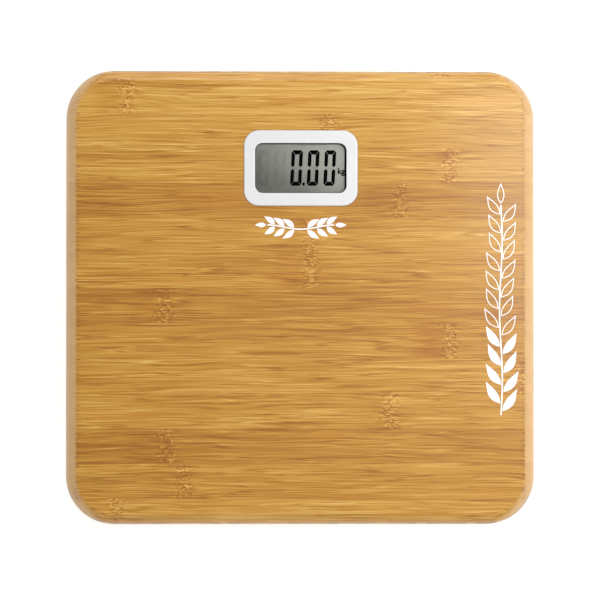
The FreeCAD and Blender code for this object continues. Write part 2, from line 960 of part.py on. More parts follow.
def rear_cover():
    body = new_body("rear_cover")
    block(
        body,
        "plate",
        "cover_length",
        "cover_width",
        "cover_radius",
        COVER_BOTTOM,
        "cover_thick",
        y="pocket_y",
    )
    doc.recompute()
    round_edges(body, "plate_edge", edges_at(body, COVER_BOTTOM), "cover_edge")
    inset = "2 * cover_rib_gap"
    block(
        body,
        "locating_rib",
        f"pocket_length - {inset}",
        f"pocket_width - {inset}",
        "pocket_radius - cover_rib_gap",
        UNDERSIDE,
        "cover_rib_height",
        y="pocket_y",
    )
    doc.recompute()
    inset = "2 * (cover_rib_gap + cover_rib_wall)"
    block(
        body,
        "inside_rib",
        f"pocket_length - {inset}",
        f"pocket_width - {inset}",
        "pocket_radius - cover_rib_gap - cover_rib_wall",
        UNDERSIDE,
        "cover_rib_height",
        y="pocket_y",
        cut=True,
    )
    block(
        body,
        "bay",
        "bay_inner_length + 2 * bay_wall",
        "bay_inner_width + 2 * bay_wall",
        "bay_corner",
        f"{UNDERSIDE} - bay_root",
        "bay_height + bay_root",
        y="bay_y",
    )
    doc.recompute()
    room_top = f"({UNDERSIDE} + bay_height - bay_roof)"
    room_bottom = f"({UNDERSIDE} - {OVERSHOOT})"
    block(
        body,
        "cell_room",
        "contact_room",
        "bay_inner_width",
        "0",
        room_bottom,
        f"{room_top} - {room_bottom}",
        y="bay_y",
        cut=True,
    )
    side_room = "(bay_inner_length - contact_room - 2 * contact_rib) / 2"
    for number, side in enumerate((-1, 1)):
        block(
            body,
            f"side_room_{number}",
            side_room,
            "bay_inner_width",
            "0",
            room_bottom,
            f"{room_top} - {room_bottom}",
            x=f"{side} * (contact_room / 2 + contact_rib + {side_room} / 2)",
            y="bay_y",
            cut=True,
        )
    cover_front = "pocket_y - cover_width / 2"
    opening_back = f"({cover_front} + door_length + door_end_gap)"
    opening_front = f"({cover_front} - {OVERSHOOT})"
    for name, width, ledge in (
        ("door_opening", "door_face_width", "0"),
        ("door_rails", "door_tongue_width", "rail_ledge"),
    ):
        block(
            body,
            name,
            f"{width} + 2 * door_gap",
            f"{opening_back} - {opening_front}",
            "0",
            f"{COVER_BOTTOM} + {ledge}",
            f"cover_thick - {ledge}",
            y=f"({opening_back} + {opening_front}) / 2",
            cut=True,
        )
    for number, (x, y) in enumerate(cover_screw_places()):
        radius = "cover_screw_radius + screw_hole_gap"
        disc(body, f"screw_hole_{number}", radius, COVER_BOTTOM, "cover_thick", x, y, cut=True)
        depth = "counterbore_depth"
        disc(body, f"counterbore_{number}", "counterbore_radius", COVER_BOTTOM, depth, x, y, cut=True)
    disc(
        body,
        "button_hole",
        "button_radius + button_gap",
        COVER_BOTTOM,
        "cover_thick",
        "button_x",
        "button_y",
        cut=True,
    )
    for number, (height, row) in enumerate((("cell_height", -1), (BLACK_LEAD, 1))):
        block(
            body,
            f"lead_hole_{number}",
            "lead_hole_length",
            "lead_hole",
            "0",
            f"{height} - lead_hole / 2",
            "lead_hole",
            x="contact_room / 2 + lead_hole_inset",
            y=f"bay_y + {row} * cell_spacing / 2",
            cut=True,
        )
        block(
            body,
            f"lead_exit_{number}",
            "lead_hole",
            "lead_exit_length",
            "0",
            f"{height} - lead_hole / 2",
            "lead_hole",
            x=LEAD_LANE_X,
            y="bay_y + bay_inner_width / 2",
            cut=True,
        )
    return body


def cover_screw_places():
    """Three screws along each side of the cover."""
    half_length = "(cover_length / 2 - cover_screw_inset)"
    half_width = "(cover_width / 2 - cover_screw_inset)"
    steps = [(side, step) for side in (-1, 1) for step in (-1, 0, 1)]
    return [(f"{side} * {half_length}", f"pocket_y + {step} * {half_width}") for side, step in steps]


def battery_door():
    """A door that slides out towards the heel side. Its tongues are held between the rails and the board."""
    body = new_body("battery_door")
    front = "pocket_y - cover_width / 2"
    middle = f"{front} + door_length / 2"
    block(body, "face", "door_face_width", "door_length", "0", COVER_BOTTOM, "door_face_thick", y=middle)
    block(
        body,
        "tongues",
        "door_tongue_width",
        "door_length - 2 * tongue_inset",
        "0",
        f"{COVER_BOTTOM} + door_face_thick",
        "door_thick - door_face_thick",
        y=middle,
    )
    doc.recompute()
    for number in range(GRIPS):
        block(
            body,
            f"grip_{number}",
            "grip_length",
            "grip_width",
            "0",
            COVER_BOTTOM,
            "grip_depth",
            y=f"{front} + grip_start + {number} * grip_pitch",
            cut=True,
        )
    return body


def battery(label, row, way):
    """An AAA cell along X. row is -1 or 1 for its place across the bay, way is the side of its raised end."""
    body = new_body(label)
    case = new_sketch(body, "case", role="YZ_Plane")
    draw_circle(case, "cell_radius")
    can = body.newObject("PartDesign::Pad", "case_solid")
    can.Profile = case
    bind(can, "Length", "cell_length")
    nub = new_sketch(body, "nub", role="YZ_Plane", z="cell_length")
    draw_circle(nub, "cell_nub_radius")
    tip = body.newObject("PartDesign::Pad", "nub_solid")
    tip.Profile = nub
    bind(tip, "Length", "cell_nub_height")
    doc.recompute()
    around_case = 2 * math.pi * value("cell_radius")
    ends = [n for n, e in enumerate(body.Tip.Shape.Edges, start=1) if abs(e.Length - around_case) < 1e-3]
    round_edges(body, "case_edges", [f"Edge{n}" for n in ends], "cell_edge")
    for sketch in (case, nub):
        sketch.Visibility = False
    body.Placement.Rotation = FreeCAD.Rotation(V(0, 0, 1), 0 if way > 0 else 180)
    start = f"{way} * (contact_room / 2 - contact_thick - cell_nub_height - cell_length)"
    place(body, start, f"bay_y + {row} * cell_spacing / 2", "cell_height")
    return body


def contact_plate(label, side, rows):
    """A nickel-plated plate against a rib at the end of the bay. rows are the cells that it touches."""
    plate = doc.addObject("Part::Box", label)
    plate.Label = label
    width = f"contact_width + {len(rows) - 1} * cell_spacing"
    bind(plate, "Length", "contact_thick")
    bind(plate, "Width", width)
    bind(plate, "Height", "contact_height")
    middle = f"bay_y + {sum(rows) / len(rows)} * cell_spacing / 2"
    left = "contact_room / 2 - contact_thick" if side > 0 else "-contact_room / 2"
    place(plate, left, f"{middle} - ({width}) / 2", "cell_height - contact_height / 2")
    return plate


def contact_spring(label, row, side):
    """The spring that pushes on a cell's flat end, from the contact plate at that side."""
    body = new_body(label)
    wire = new_sketch(body, "wire", role="XZ_Plane", x="spring_radius", y="spring_wire")
    draw_circle(wire, "spring_wire")
    coil = body.newObject("PartDesign::AdditiveHelix", "coil")
    coil.Profile = wire
    coil.ReferenceAxis = (origin_feature(body, "Z_Axis"), [""])
    coil.Mode = "pitch-height-angle"
    bind(coil, "Pitch", "spring_pitch")
    length = "contact_room - 2 * contact_thick - cell_length - cell_nub_height"
    bind(coil, "Height", f"{length} - 2 * spring_wire - 2 * spring_gap")
    wire.Visibility = False
    body.Placement.Rotation = FreeCAD.Rotation(V(0, 1, 0), -90 * side)
    start = f"{side} * (contact_room / 2 - contact_thick - spring_gap)"
    place(body, start, f"bay_y + {row} * cell_spacing / 2", "cell_height")
    return body


# ---- load-cell feet -------------------------------------------------------------------------------------


def sensor_housing(name, side_x, side_y):
    """The cup let into the board, with a seat for the load cell's outer frame."""
    body = new_body(f"sensor_housing_{name}")
    lip_top = f"{FLANGE_BOTTOM} + housing_lip_thick"
    section = [
        ("0", HOUSING_BASE),
        ("0", SOCKET_ROOF),
        ("housing_radius", SOCKET_ROOF),
        ("housing_radius", UNDERSIDE),
        ("housing_flange_radius", UNDERSIDE),
        ("housing_flange_radius", f"{FLANGE_BOTTOM} + housing_chamfer"),
        ("housing_flange_radius - housing_chamfer", FLANGE_BOTTOM),
        ("housing_lip_radius", FLANGE_BOTTOM),
        ("housing_lip_radius", lip_top),
        ("housing_bore", lip_top),
        ("housing_bore", HOUSING_BASE),
    ]
    turned(body, "cup", section)
    doc.recompute()
    block(body, "seat", "seat_side", "seat_side", "seat_corner", CELL_TOP, "seat_height")
    doc.recompute()
    block(
        body,
        "seat_hollow",
        "seat_inner_side",
        "seat_inner_side",
        "seat_inner_corner",
        CELL_TOP,
        "seat_height",
        cut=True,
    )
    block(
        body,
        "lead_slot",
        "lead_slot_length",
        "channel_width",
        "0",
        "lead_exit_height - lead_slot_drop",
        "lead_slot_height",
        x="housing_radius - lead_slot_inset",
        cut=True,
    )
    angle = math.radians(FIRST_SCREW_ANGLE)
    hole = disc(
        body,
        "screw_hole",
        "housing_screw_radius + screw_hole_gap",
        FLANGE_BOTTOM,
        "housing_flange_thick",
        f"{math.cos(angle)} * housing_screw_circle",
        f"{math.sin(angle)} * housing_screw_circle",
        cut=True,
    )
    around(body, hole, SCREWS_PER_HOUSING, "screw_holes")
    return at_corner(body, side_x, side_y)


def at_corner(body, side_x, side_y):
    """Moves a body of a foot to its corner, with its local +X along the lead channel."""
    lane = channel(side_x, side_y)
    body.Placement.Rotation = FreeCAD.Rotation(V(0, 0, 1), lane["turn"])
    place(body, *corner_position(side_x, side_y))
    return body


def load_cell(name, side_x, side_y):
    """A steel plate cut to a frame with a tongue. The foot bends the tongue, and the frame is held."""
    body = new_body(f"load_cell_{name}")
    block(body, "plate", "cell_side", "cell_side", "cell_corner", CELL_BOTTOM, "cell_thick")
    doc.recompute()
    slot_length = "tongue_root + tongue_tip + tongue_slot"
    slot_x = "(tongue_root - tongue_tip - tongue_slot) / 2"
    for number, side in enumerate((-1, 1)):
        block(
            body,
            f"side_slot_{number}",
            slot_length,
            "tongue_slot",
            "0",
            CELL_BOTTOM,
            "cell_thick",
            x=slot_x,
            y=f"{side} * (tongue_width + tongue_slot) / 2",
            cut=True,
        )
    block(
        body,
        "end_slot",
        "tongue_slot",
        "tongue_width + tongue_slot",
        "0",
        CELL_BOTTOM,
        "cell_thick",
        x="-tongue_tip - tongue_slot / 2",
        cut=True,
    )
    return at_corner(body, side_x, side_y)


def strain_gauge(name, side_x, side_y):
    """The gauge film under its resin, bonded below the root of the tongue."""
    body = new_body(f"strain_gauge_{name}")
    block(
        body,
        "film",
        "gauge_length",
        "gauge_width",
        "gauge_corner",
        f"{CELL_BOTTOM} - gauge_thick",
        "gauge_thick",
        x="carrier_boss + gauge_from_boss + gauge_length / 2",
    )
    return at_corner(body, side_x, side_y)


def foot_carrier(name, side_x, side_y):
    """The moving part of a foot: a dish with a boss that presses on the load cell's tongue."""
    body = new_body(f"foot_carrier_{name}")
    floor_top = "pad_thick + carrier_floor"
    section = [
        ("0", "pad_thick"),
        ("pad_radius + pad_gap", "pad_thick"),
        ("pad_radius + pad_gap", "carrier_bottom"),
        ("carrier_radius - carrier_chamfer", "carrier_bottom"),
        ("carrier_radius", "carrier_bottom + carrier_chamfer"),
        ("carrier_radius", "carrier_top"),
        ("carrier_radius - carrier_wall", "carrier_top"),
        ("carrier_radius - carrier_wall", floor_top),
        ("carrier_boss", floor_top),
        ("carrier_boss", CELL_BOTTOM),
        ("0", CELL_BOTTOM),
    ]
    turned(body, "dish", section)
    doc.recompute()
    hook = block(
        body,
        "hook",
        "hook_reach + hook_root",
        "hook_length",
        "0",
        "carrier_top - hook_height",
        "hook_height",
        x="-carrier_radius + (hook_root - hook_reach) / 2",
    )
    doc.recompute()
    around(body, hook, HOOKS_PER_FOOT, "hooks")
    return at_corner(body, side_x, side_y)


def foot_pad(name, side_x, side_y):
    """The soft pad that stands on the floor, with an anti-slip groove."""
    body = new_body(f"foot_pad_{name}")
    groove_in = "pad_groove_radius - pad_groove_width / 2"
    groove_out = "pad_groove_radius + pad_groove_width / 2"
    section = [
        ("0", "0"),
        (groove_in, "0"),
        (groove_in, "pad_groove_depth"),
        (groove_out, "pad_groove_depth"),
        (groove_out, "0"),
        ("pad_radius", "0"),
        ("pad_radius", "pad_thick"),
        ("0", "pad_thick"),
    ]
    turned(body, "pad_section", section)
    doc.recompute()
    rim = [
        f"Edge{n}"
        for n, e in enumerate(body.Tip.Shape.Edges, start=1)
        if abs(e.CenterOfMass.z) < 1e-6 and e.Length > 2 * math.pi * (value("pad_radius") - 0.1)
    ]
    round_edges(body, "pad_rim", rim, "pad_edge")
    return at_corner(body, side_x, side_y)


def housing_screw_places():
    """Where the housings' screws are, in the order of the corners."""
    places = []
    for _, side_x, side_y in CORNERS:
        x, y = corner_position(side_x, side_y)
        for number in range(SCREWS_PER_HOUSING):
            degrees = FIRST_SCREW_ANGLE + channel(side_x, side_y)["turn"] + number * 360 / SCREWS_PER_HOUSING
            angle = math.radians(degrees)
            step_x = f"{math.cos(angle):.6f} * housing_screw_circle"
            step_y = f"{math.sin(angle):.6f} * housing_screw_circle"
            places.append((f"{x} + {step_x}", f"{y} + {step_y}"))
    return places


def channel_strip(name, side_x, side_y):
    """The strip that closes a lead channel, held at its ends by the housing's flange and the cover."""
    body = new_body(f"channel_strip_{name}")
    lane = channel(side_x, side_y)
    length = f"{lane['length']} - socket_radius - strip_socket_gap - strip_pocket_gap"
    block(
        body,
        "strip",
        length,
        "strip_cover_width",
        "0",
        UNDERSIDE,
        "strip_cover_thick",
        x=f"socket_radius + strip_socket_gap + ({length}) / 2",
    )
    return at_corner(body, side_x, side_y)


# ---- leads ----------------------------------------------------------------------------------------------


def rounded_path(points, share=0.4):
    """Straight runs joined by tangent arcs. Each arc takes a share of the shorter run beside it."""
    edges = []
    start = points[0]
    for before, corner, after in zip(points, points[1:], points[2:]):
        way_in = (corner - before).normalize()
        way_out = (after - corner).normalize()
        half_turn = way_in.getAngle(way_out) / 2
        reach = share * min((corner - before).Length, (after - corner).Length)
        radius = reach / math.tan(half_turn)
        first, last = corner - way_in * reach, corner + way_out * reach
        inward = (way_out - way_in).normalize()
        middle = corner + inward * (math.hypot(radius, reach) - radius)
        edges.append(Part.LineSegment(start, first).toShape())
        edges.append(Part.Arc(first, middle, last).toShape())
        start = last
    edges.append(Part.LineSegment(start, points[-1]).toShape())
    return Part.Wire(edges)


def insulated_wire(points, radius):
    """A round wire along a route."""
    path = rounded_path(points)
    section = Part.Wire([Part.Circle(points[0], points[1] - points[0], radius).toShape()])
    return path.makePipeShell([section], True, True)


def beside(points, offset):
    """The route moved sideways by an offset, kept level and parallel at its corners."""
    level = [V(p.x, p.y, 0) for p in points]
    sideways = []
    for first, second in zip(level, level[1:]):
        run = second - first
        turned_left = V(-run.y, run.x, 0).normalize() if run.Length > 1e-6 else sideways[-1]
        sideways.append(turned_left)
    moved = []
    for number, point in enumerate(points):
        left = sideways[max(number - 1, 0)]
        right = sideways[min(number, len(sideways) - 1)]
        moved.append(point + (left + right) * (offset / (1 + left.dot(right))))
    return moved


def sensor_leads(name, side_x, side_y):
    """The three insulated wires of a load cell, through its channel and up to the circuit board."""
    lane = channel(side_x, side_y)
    foot = V(*(value(c) for c in corner_position(side_x, side_y)), 0)
    along = V(math.cos(math.radians(lane["turn"])), math.sin(math.radians(lane["turn"])), 0)
    end = V(*lane["end"], 0)
    low, high = value("lead_exit_height"), value("lead_height")
    start = value("carrier_boss + gauge_from_boss + gauge_length + lead_from_gauge")
    route = [
        foot + along * start + V(0, 0, low),
        foot + along * value("cell_side / 2 + lead_from_cell") + V(0, 0, low),
        foot + along * value("socket_radius + lead_from_socket") + V(0, 0, high),
    ]
    board_bottom = value(PCB_BOTTOM)
    if side_y > 0:
        route.append(V(side_x * value("lead_pad_x"), foot.y, high))
    else:
        route.append(end + along * value("lead_bend") + V(0, 0, high))
        pad_y = value("display_y - pcb_width / 2 + heel_pad_inset")
        route.append(V(side_x * value("lead_pad_x"), pad_y, high))
    route.append(V(route[-1].x, route[-1].y, board_bottom))
    wires = []
    for number in range(LEADS_PER_CELL):
        offset = (number - (LEADS_PER_CELL - 1) / 2) * value("lead_pitch")
        wires.append(insulated_wire(beside(route, offset), value("lead_radius")))
    return shape_node(f"sensor_leads_{name}", Part.makeCompound(wires))


def battery_lead(label, row, height, pad_x):
    """A wire from the back of a contact plate, through the side room of the bay, to the board."""
    lane_x = value(LEAD_LANE_X)
    y = value(f"bay_y + {row} * cell_spacing / 2")
    z = value(height)
    turn_y = value("display_y - pcb_width / 2 + battery_lead_turn")
    pad_y = value("display_y - pcb_width / 2 + battery_pad_inset")
    route = [
        V(value("contact_room / 2"), y, z),
        V(lane_x, y, z),
        V(lane_x, turn_y, z),
        V(value(pad_x), pad_y, z),
        V(value(pad_x), pad_y, value(PCB_BOTTOM)),
    ]
    return shape_node(label, insulated_wire(route, value("lead_radius")))


def shape_node(label, shape):
    node = doc.addObject("Part::Feature", label)
    node.Label = label
    node.Shape = shape
    return node


# ---- the assembly ---------------------------------------------------------------------------------------


def build_display():
    glass_shift = "-glass_ledge / 2"
    ledge_y = "glass_width / 2 - glass_ledge / 2"
    foam_y = "-glass_width / 2 + foam_inset"
    return [
        display_bezel(),
        display_plate("display_lens", "lens_length", "lens_width", "lens_corner", LENS_BOTTOM, "lens_thick"),
        lcd_carrier(),
        display_plate(
            "lcd_front_glass",
            "glass_length",
            "glass_width",
            "glass_corner",
            GLASS_SPLIT,
            "front_glass_thick",
        ),
        display_plate(
            "lcd_rear_glass",
            "glass_length",
            "glass_width - glass_ledge",
            "glass_corner",
            REFLECTOR_TOP,
            "rear_glass_thick",
            glass_shift,
        ),
        display_plate(
            "lcd_reflector",
            "glass_length - 2 * reflector_inset",
            "glass_width - glass_ledge - 2 * reflector_inset",
            "glass_corner",
            REFLECTOR_BOTTOM,
            "reflector_thick",
            glass_shift,
        ),
        display_plate(
            "zebra_connector",
            "strip_length",
            "strip_width",
            "0",
            PCB_TOP,
            f"{GLASS_SPLIT} - {PCB_TOP}",
            ledge_y,
        ),
        display_plate(
            "lcd_support_foam",
            "strip_length",
            "foam_width",
            "0",
            PCB_TOP,
            f"{REFLECTOR_BOTTOM} - {PCB_TOP}",
            foam_y,
        ),
        main_pcb(),
        controller_glob_top(),
        *(chips(label, size, places) for label, (size, places) in CHIPS.items()),
        switch_body(),
        switch_plunger(),
        unit_button(),
        screw_group(
            "pcb_screws",
            (
                f"({PCB_BOTTOM} - pcb_screw_head_height)",
                "pcb_screw_head",
                "pcb_screw_head_height",
                "pcb_screw_radius",
                "pcb_screw_length",
            ),
            pcb_screw_places(),
        ),
    ]


def screw_group(label, sizes, places):
    source = screw_body(label + "_source", *sizes)
    members = [linked(source, f"{label}_{number}", x, y) for number, (x, y) in enumerate(places)]
    return gathered(label, members)


def build_power():
    return [
        rear_cover(),
        screw_group(
            "rear_cover_screws",
            (
                f"({COVER_BOTTOM} + counterbore_depth - cover_screw_head_height)",
                "cover_screw_head",
                "cover_screw_head_height",
                "cover_screw_radius",
                "cover_screw_length",
            ),
            cover_screw_places(),
        ),
        battery_door(),
        battery("battery_heel_side", -1, 1),
        battery("battery_toe_side", 1, -1),
        contact_plate("battery_bridge_contact", -1, (-1, 1)),
        contact_plate("battery_positive_contact", 1, (-1,)),
        contact_plate("battery_negative_contact", 1, (1,)),
        contact_spring("battery_bridge_spring", -1, -1),
        contact_spring("battery_negative_spring", 1, 1),
        battery_lead("battery_lead_red", -1, "cell_height", "red_pad_x"),
        battery_lead("battery_lead_black", 1, BLACK_LEAD, "black_pad_x"),
    ]


def build_feet():
    nodes = []
    gauges = []
    for name, side_x, side_y in CORNERS:
        nodes.append(sensor_housing(name, side_x, side_y))
        nodes.append(load_cell(name, side_x, side_y))
        nodes.append(foot_carrier(name, side_x, side_y))
        nodes.append(foot_pad(name, side_x, side_y))
        nodes.append(sensor_leads(name, side_x, side_y))
        nodes.append(channel_strip(name, side_x, side_y))
        gauges.append(strain_gauge(name, side_x, side_y))
    nodes.append(gathered("strain_gauges", gauges))
    nodes.append(
        screw_group(
            "housing_screws",
            (
                f"({FLANGE_BOTTOM} - housing_screw_head_height)",
                "housing_screw_head",
                "housing_screw_head_height",
                "housing_screw_radius",
                "housing_screw_length",
            ),
            housing_screw_places(),
        )
    )
    return nodes


def check(nodes):
    """Stops the build if any object failed or any node isn't made of sound solids."""
    for thing in doc.Objects:
        if {"Invalid", "Error"} & set(thing.State):
            raise ValueError(f"{thing.Name} ({thing.Label}) failed: {thing.State}")
    for node in nodes:
        shape = node.Shape
        if shape.isNull() or not shape.isValid() or not shape.Solids or shape.Volume <= 0:
            raise ValueError(f"{node.Label} isn't a sound solid")


def main():
    nodes = [platform_board(), *build_display(), *build_power(), *build_feet()]
    doc.recompute()
    check(nodes)
    os.makedirs("parts", exist_ok=True)
    for node in nodes:
        node.Shape.exportStep(f"parts/{node.Label}.step")
        print(f"{node.Label:28} {len(node.Shape.Solids):3} solids  {node.Shape.Volume:11.1f} mm3")
    print(len(nodes), "nodes")


main()
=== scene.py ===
"""The looks of a bamboo bathroom scale: materials, the display's picture, the printed twigs and the stage.

Metres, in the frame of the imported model: +Z up, +Y towards the display, +X to the right.
Procedural textures work in millimetres, from the object's own coordinates.
"""

import bmesh
import bpy
import math
from mathutils import Matrix, Vector


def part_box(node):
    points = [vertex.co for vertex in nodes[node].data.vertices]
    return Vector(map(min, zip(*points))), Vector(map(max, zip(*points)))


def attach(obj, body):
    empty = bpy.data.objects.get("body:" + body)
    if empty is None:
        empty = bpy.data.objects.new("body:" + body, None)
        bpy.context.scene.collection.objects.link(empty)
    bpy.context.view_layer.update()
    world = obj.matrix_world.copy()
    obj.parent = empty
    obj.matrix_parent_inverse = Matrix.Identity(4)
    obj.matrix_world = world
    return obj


MM = 0.001

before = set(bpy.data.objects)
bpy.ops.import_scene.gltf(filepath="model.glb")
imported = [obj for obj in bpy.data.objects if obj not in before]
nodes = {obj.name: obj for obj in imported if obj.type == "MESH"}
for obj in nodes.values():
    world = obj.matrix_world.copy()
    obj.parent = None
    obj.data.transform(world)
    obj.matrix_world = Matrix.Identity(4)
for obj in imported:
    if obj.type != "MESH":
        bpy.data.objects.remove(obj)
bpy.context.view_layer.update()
board_low, board_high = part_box("platform_board")

CORNERS = ("toe_left", "toe_right", "heel_left", "heel_right")
PLATFORM = "platform"


# ---- shader building ------------------------------------------------------------------------------------


def fill_ramp(ramp, stops):
    """Gives a colour ramp its stops, in order."""
    while len(ramp.elements) < len(stops):
        ramp.elements.new(1)
    for element, (position, colour) in zip(ramp.elements, stops):
        element.position = position
        element.color = (*colour, 1)


class Shader:
    """A material round one Principled shader. Inputs are numbers, colours or the outputs of other nodes."""

    def __init__(self, name, **constants):
        self.material = bpy.data.materials.new(name)
        self.material.use_nodes = True
        self.tree = self.material.node_tree
        self.tree.nodes.clear()
        output = self.tree.nodes.new("ShaderNodeOutputMaterial")
        self.surface = self.tree.nodes.new("ShaderNodeBsdfPrincipled")
        self.tree.links.new(self.surface.outputs["BSDF"], output.inputs["Surface"])
        self.set(**constants)

    def set(self, **inputs):
        """Sets or links the Principled shader's inputs: base_color is its Base Color, and so on."""
        names = {socket.name.lower().replace(" ", "_"): socket for socket in self.surface.inputs}
        for name, value in inputs.items():
            self.put(value, names[name])

    def put(self, value, socket):
        """Links the value to the socket if it is another node's output, and sets it otherwise."""
        if isinstance(value, bpy.types.NodeSocket):
            self.tree.links.new(value, socket)
        elif isinstance(value, (tuple, list)):
            socket.default_value = (*value, 1) if socket.type == "RGBA" else value
        else:
            socket.default_value = value

    def node(self, kind, *inputs, **settings):
        """A new node with its first inputs and its settings."""
        node = self.tree.nodes.new("ShaderNode" + kind)
        for name, value in settings.items():
            setattr(node, name, value)
        for socket, value in zip(node.inputs, inputs):
            self.put(value, socket)
        return node

    def math(self, operation, *inputs):
        return self.node("Math", *inputs, operation=operation).outputs[0]

    def swing(self, value, share, base):
        """The base plus a share of how far the value is from a half."""
        return self.math("MULTIPLY_ADD", self.math("SUBTRACT", value, 0.5), share, base)

    def distance(self, value, place):
        """How far the value is from a place."""
        return self.math("ABSOLUTE", self.math("SUBTRACT", value, place))

    def position(self):
        """The place on the object, in millimetres."""
        coordinates = self.node("TexCoord").outputs["Object"]
        return self.stretched(coordinates, (1 / MM, 1 / MM, 1 / MM))

    def normal(self):
        return self.node("TexCoord").outputs["Normal"]

    def split(self, vector):
        return self.node("SeparateXYZ", vector).outputs

    def joined(self, x, y, z):
        return self.node("CombineXYZ", x, y, z).outputs[0]

    def stretched(self, vector, factors):
        """The vector times the factors. On a place, they are how fast a noise changes, per millimetre."""
        return self.node("VectorMath", vector, factors, operation="MULTIPLY").outputs[0]

    def noise(self, vector, detail=2.0, roughness=0.5, distortion=0.0):
        """Smooth noise from 0 to 1, mostly near a half."""
        node = self.node("TexNoise")
        self.put(vector, node.inputs["Vector"])
        self.put(1.0, node.inputs["Scale"])
        self.put(detail, node.inputs["Detail"])
        self.put(roughness, node.inputs["Roughness"])
        self.put(distortion, node.inputs["Distortion"])
        return node.outputs["Fac"]

    def cells(self, vector):
        """The distance from the nearest of many scattered points, one in each unit cube."""
        node = self.node("TexVoronoi")
        self.put(vector, node.inputs["Vector"])
        self.put(1.0, node.inputs["Scale"])
        return node.outputs["Distance"]

    def chance(self, number):
        """A random number from 0 to 1 that belongs to a whole number."""
        node = self.node("TexWhiteNoise", noise_dimensions="1D")
        self.put(number, node.inputs["W"])
        return node.outputs["Value"]

    def ramp(self, factor, stops, interpolation="LINEAR"):
        """A colour that changes with the factor. Each stop is a position and its colour."""
        node = self.node("ValToRGB", factor)
        node.color_ramp.interpolation = interpolation
        fill_ramp(node.color_ramp, stops)
        return node.outputs["Color"]

    def mapped(self, value, low, high, to_low=0.0, to_high=1.0, smooth=True):
        """The value carried from low..high to to_low..to_high, and held at the ends."""
        kind = "SMOOTHSTEP" if smooth else "LINEAR"
        node = self.node("MapRange", value, low, high, to_low, to_high, interpolation_type=kind)
        return node.outputs[0]

    def mix(self, factor, first, second, blend="MIX"):
        """The first colour with a share of the second."""
        node = self.tree.nodes.new("ShaderNodeMix")
        node.data_type = "RGBA"
        node.blend_type = blend
        self.put(factor, node.inputs[0])
        self.put(first, node.inputs[6])
        self.put(second, node.inputs[7])
        return node.outputs[2]

    def choose(self, factor, first, second):
        """The first number where the factor is 0, and the second where it is 1."""
        node = self.tree.nodes.new("ShaderNodeMix")
        self.put(factor, node.inputs[0])
        self.put(first, node.inputs[2])
        self.put(second, node.inputs[3])
        return node.outputs[0]

    def bump(self, height, depth_mm):
        """Relief of this depth wherever the height goes from 0 to 1."""
        node = self.node("Bump")
        self.put(1.0, node.inputs["Strength"])
        self.put(depth_mm * MM, node.inputs["Distance"])
        self.put(height, node.inputs["Height"])
        self.set(normal=node.outputs["Normal"])


def dress(name, material):
    """Gives a CAD node its material."""
    mesh = nodes[name].data
    mesh.materials.clear()
    mesh.materials.append(material)


# ---- bamboo ---------------------------------------------------------------------------------------------

# In millimetres: the width of the outer plies' strips and of the core's, the Y of the top's first joint,
# half the core's thickness, and how far a fibre sways from side to side at most.
STRIP = 23.15
CORE_STRIP = 6.5
FIRST_JOINT = 144.7
CORE_HALF = 4.0
FIBRE_SWAY = 5.0

# In millimetres: how far apart the strips' stretches of cane may be, where a knuckle's stain is from the
# knuckle, how ragged its edge is, and how far in from an end the ticks are.
CANE_LENGTH = 900
STAIN_PLACE = -13
KNUCKLE_RAGGED = 16
CREASE_INSET = 7.6

# The depth of the grain's relief in millimetres, and how deep a joint is beside it.
GRAIN_DEPTH = 0.04
JOINT_DEPTH = 0.8

# Keeps the core's random numbers apart from those of the top's strips.
CORE_DRAW = 57

LACQUER = {"specular_ior_level": 0.30, "coat_weight": 0.30, "coat_roughness": 0.14}

# One entry for each strip of the top, from the toe side: its tone, where its knuckle is along the board as
# a share of the length, and how dark the stain beside the knuckle is.
STRIPS = (
    (0.62, 0.80, 0.0),
    (0.71, 0.13, 0.35),
    (0.62, 0.56, 0.0),
    (0.59, 0.82, 0.1),
    (0.42, 0.71, 0.2),
    (0.58, 0.52, 0.2),
    (0.56, 0.52, 0.3),
    (0.43, 0.21, 0.4),
    (0.52, 0.82, 0.6),
    (0.57, 0.97, 0.0),
    (0.58, 0.69, 0.2),
    (0.43, 0.21, 0.3),
    (0.54, 0.25, 0.3),
    (0.64, 0.11, 0.2),
)

WOOD_TONES = (
    (0.00, (0.280, 0.099, 0.014)),
    (0.25, (0.350, 0.149, 0.021)),
    (0.50, (0.446, 0.217, 0.031)),
    (0.75, (0.566, 0.312, 0.063)),
    (1.00, (0.700, 0.440, 0.140)),
)
END_TONES = (
    (0.00, (0.320, 0.160, 0.050)),
    (0.45, (0.480, 0.275, 0.105)),
    (1.00, (0.680, 0.450, 0.220)),
)
CORE_TONES = (
    (0.00, (0.280, 0.145, 0.055)),
    (0.50, (0.430, 0.255, 0.105)),
    (1.00, (0.600, 0.410, 0.205)),
)
# A painted highlight: the pale tone laid on the rounded ends that face left and right, in place of the
# lacquer's reflection of the soft boxes.
RIM_HIGHLIGHT_PALE = (0.80, 0.66, 0.46)
GLUE_BROWN = (0.20, 0.10, 0.035)
REDDER = (1.0, 0.86, 0.72)

# How much of the glue's brown shows in a rounded end's ticks, in the strips' joints and between two plies.
TICKS_SHOW = 0.55
JOINTS_SHOW = 0.30
PLY_LINES_SHOW = 0.35

# Each layer of grain: how fast it changes along and across the fibres, per millimetre, how much detail it
# has, and its share of the tone.
GRAIN_LAYERS = (
    (0.006, 0.11, 2, 0.30),
    (0.012, 0.40, 2, 0.40),
    (0.020, 0.90, 1, 0.35),
    (0.026, 1.90, 1, 0.75),
)

# Each set of threads: how fast it changes along and across the fibres, per millimetre, how wide its threads
# are as a share of the noise, and how much they add to the tone.
THREADS = (
    (0.009, 0.30, 0.040, -0.33),
    (0.013, 0.47, 0.035, -0.26),
    (0.011, 0.38, 0.040, 0.22),
)


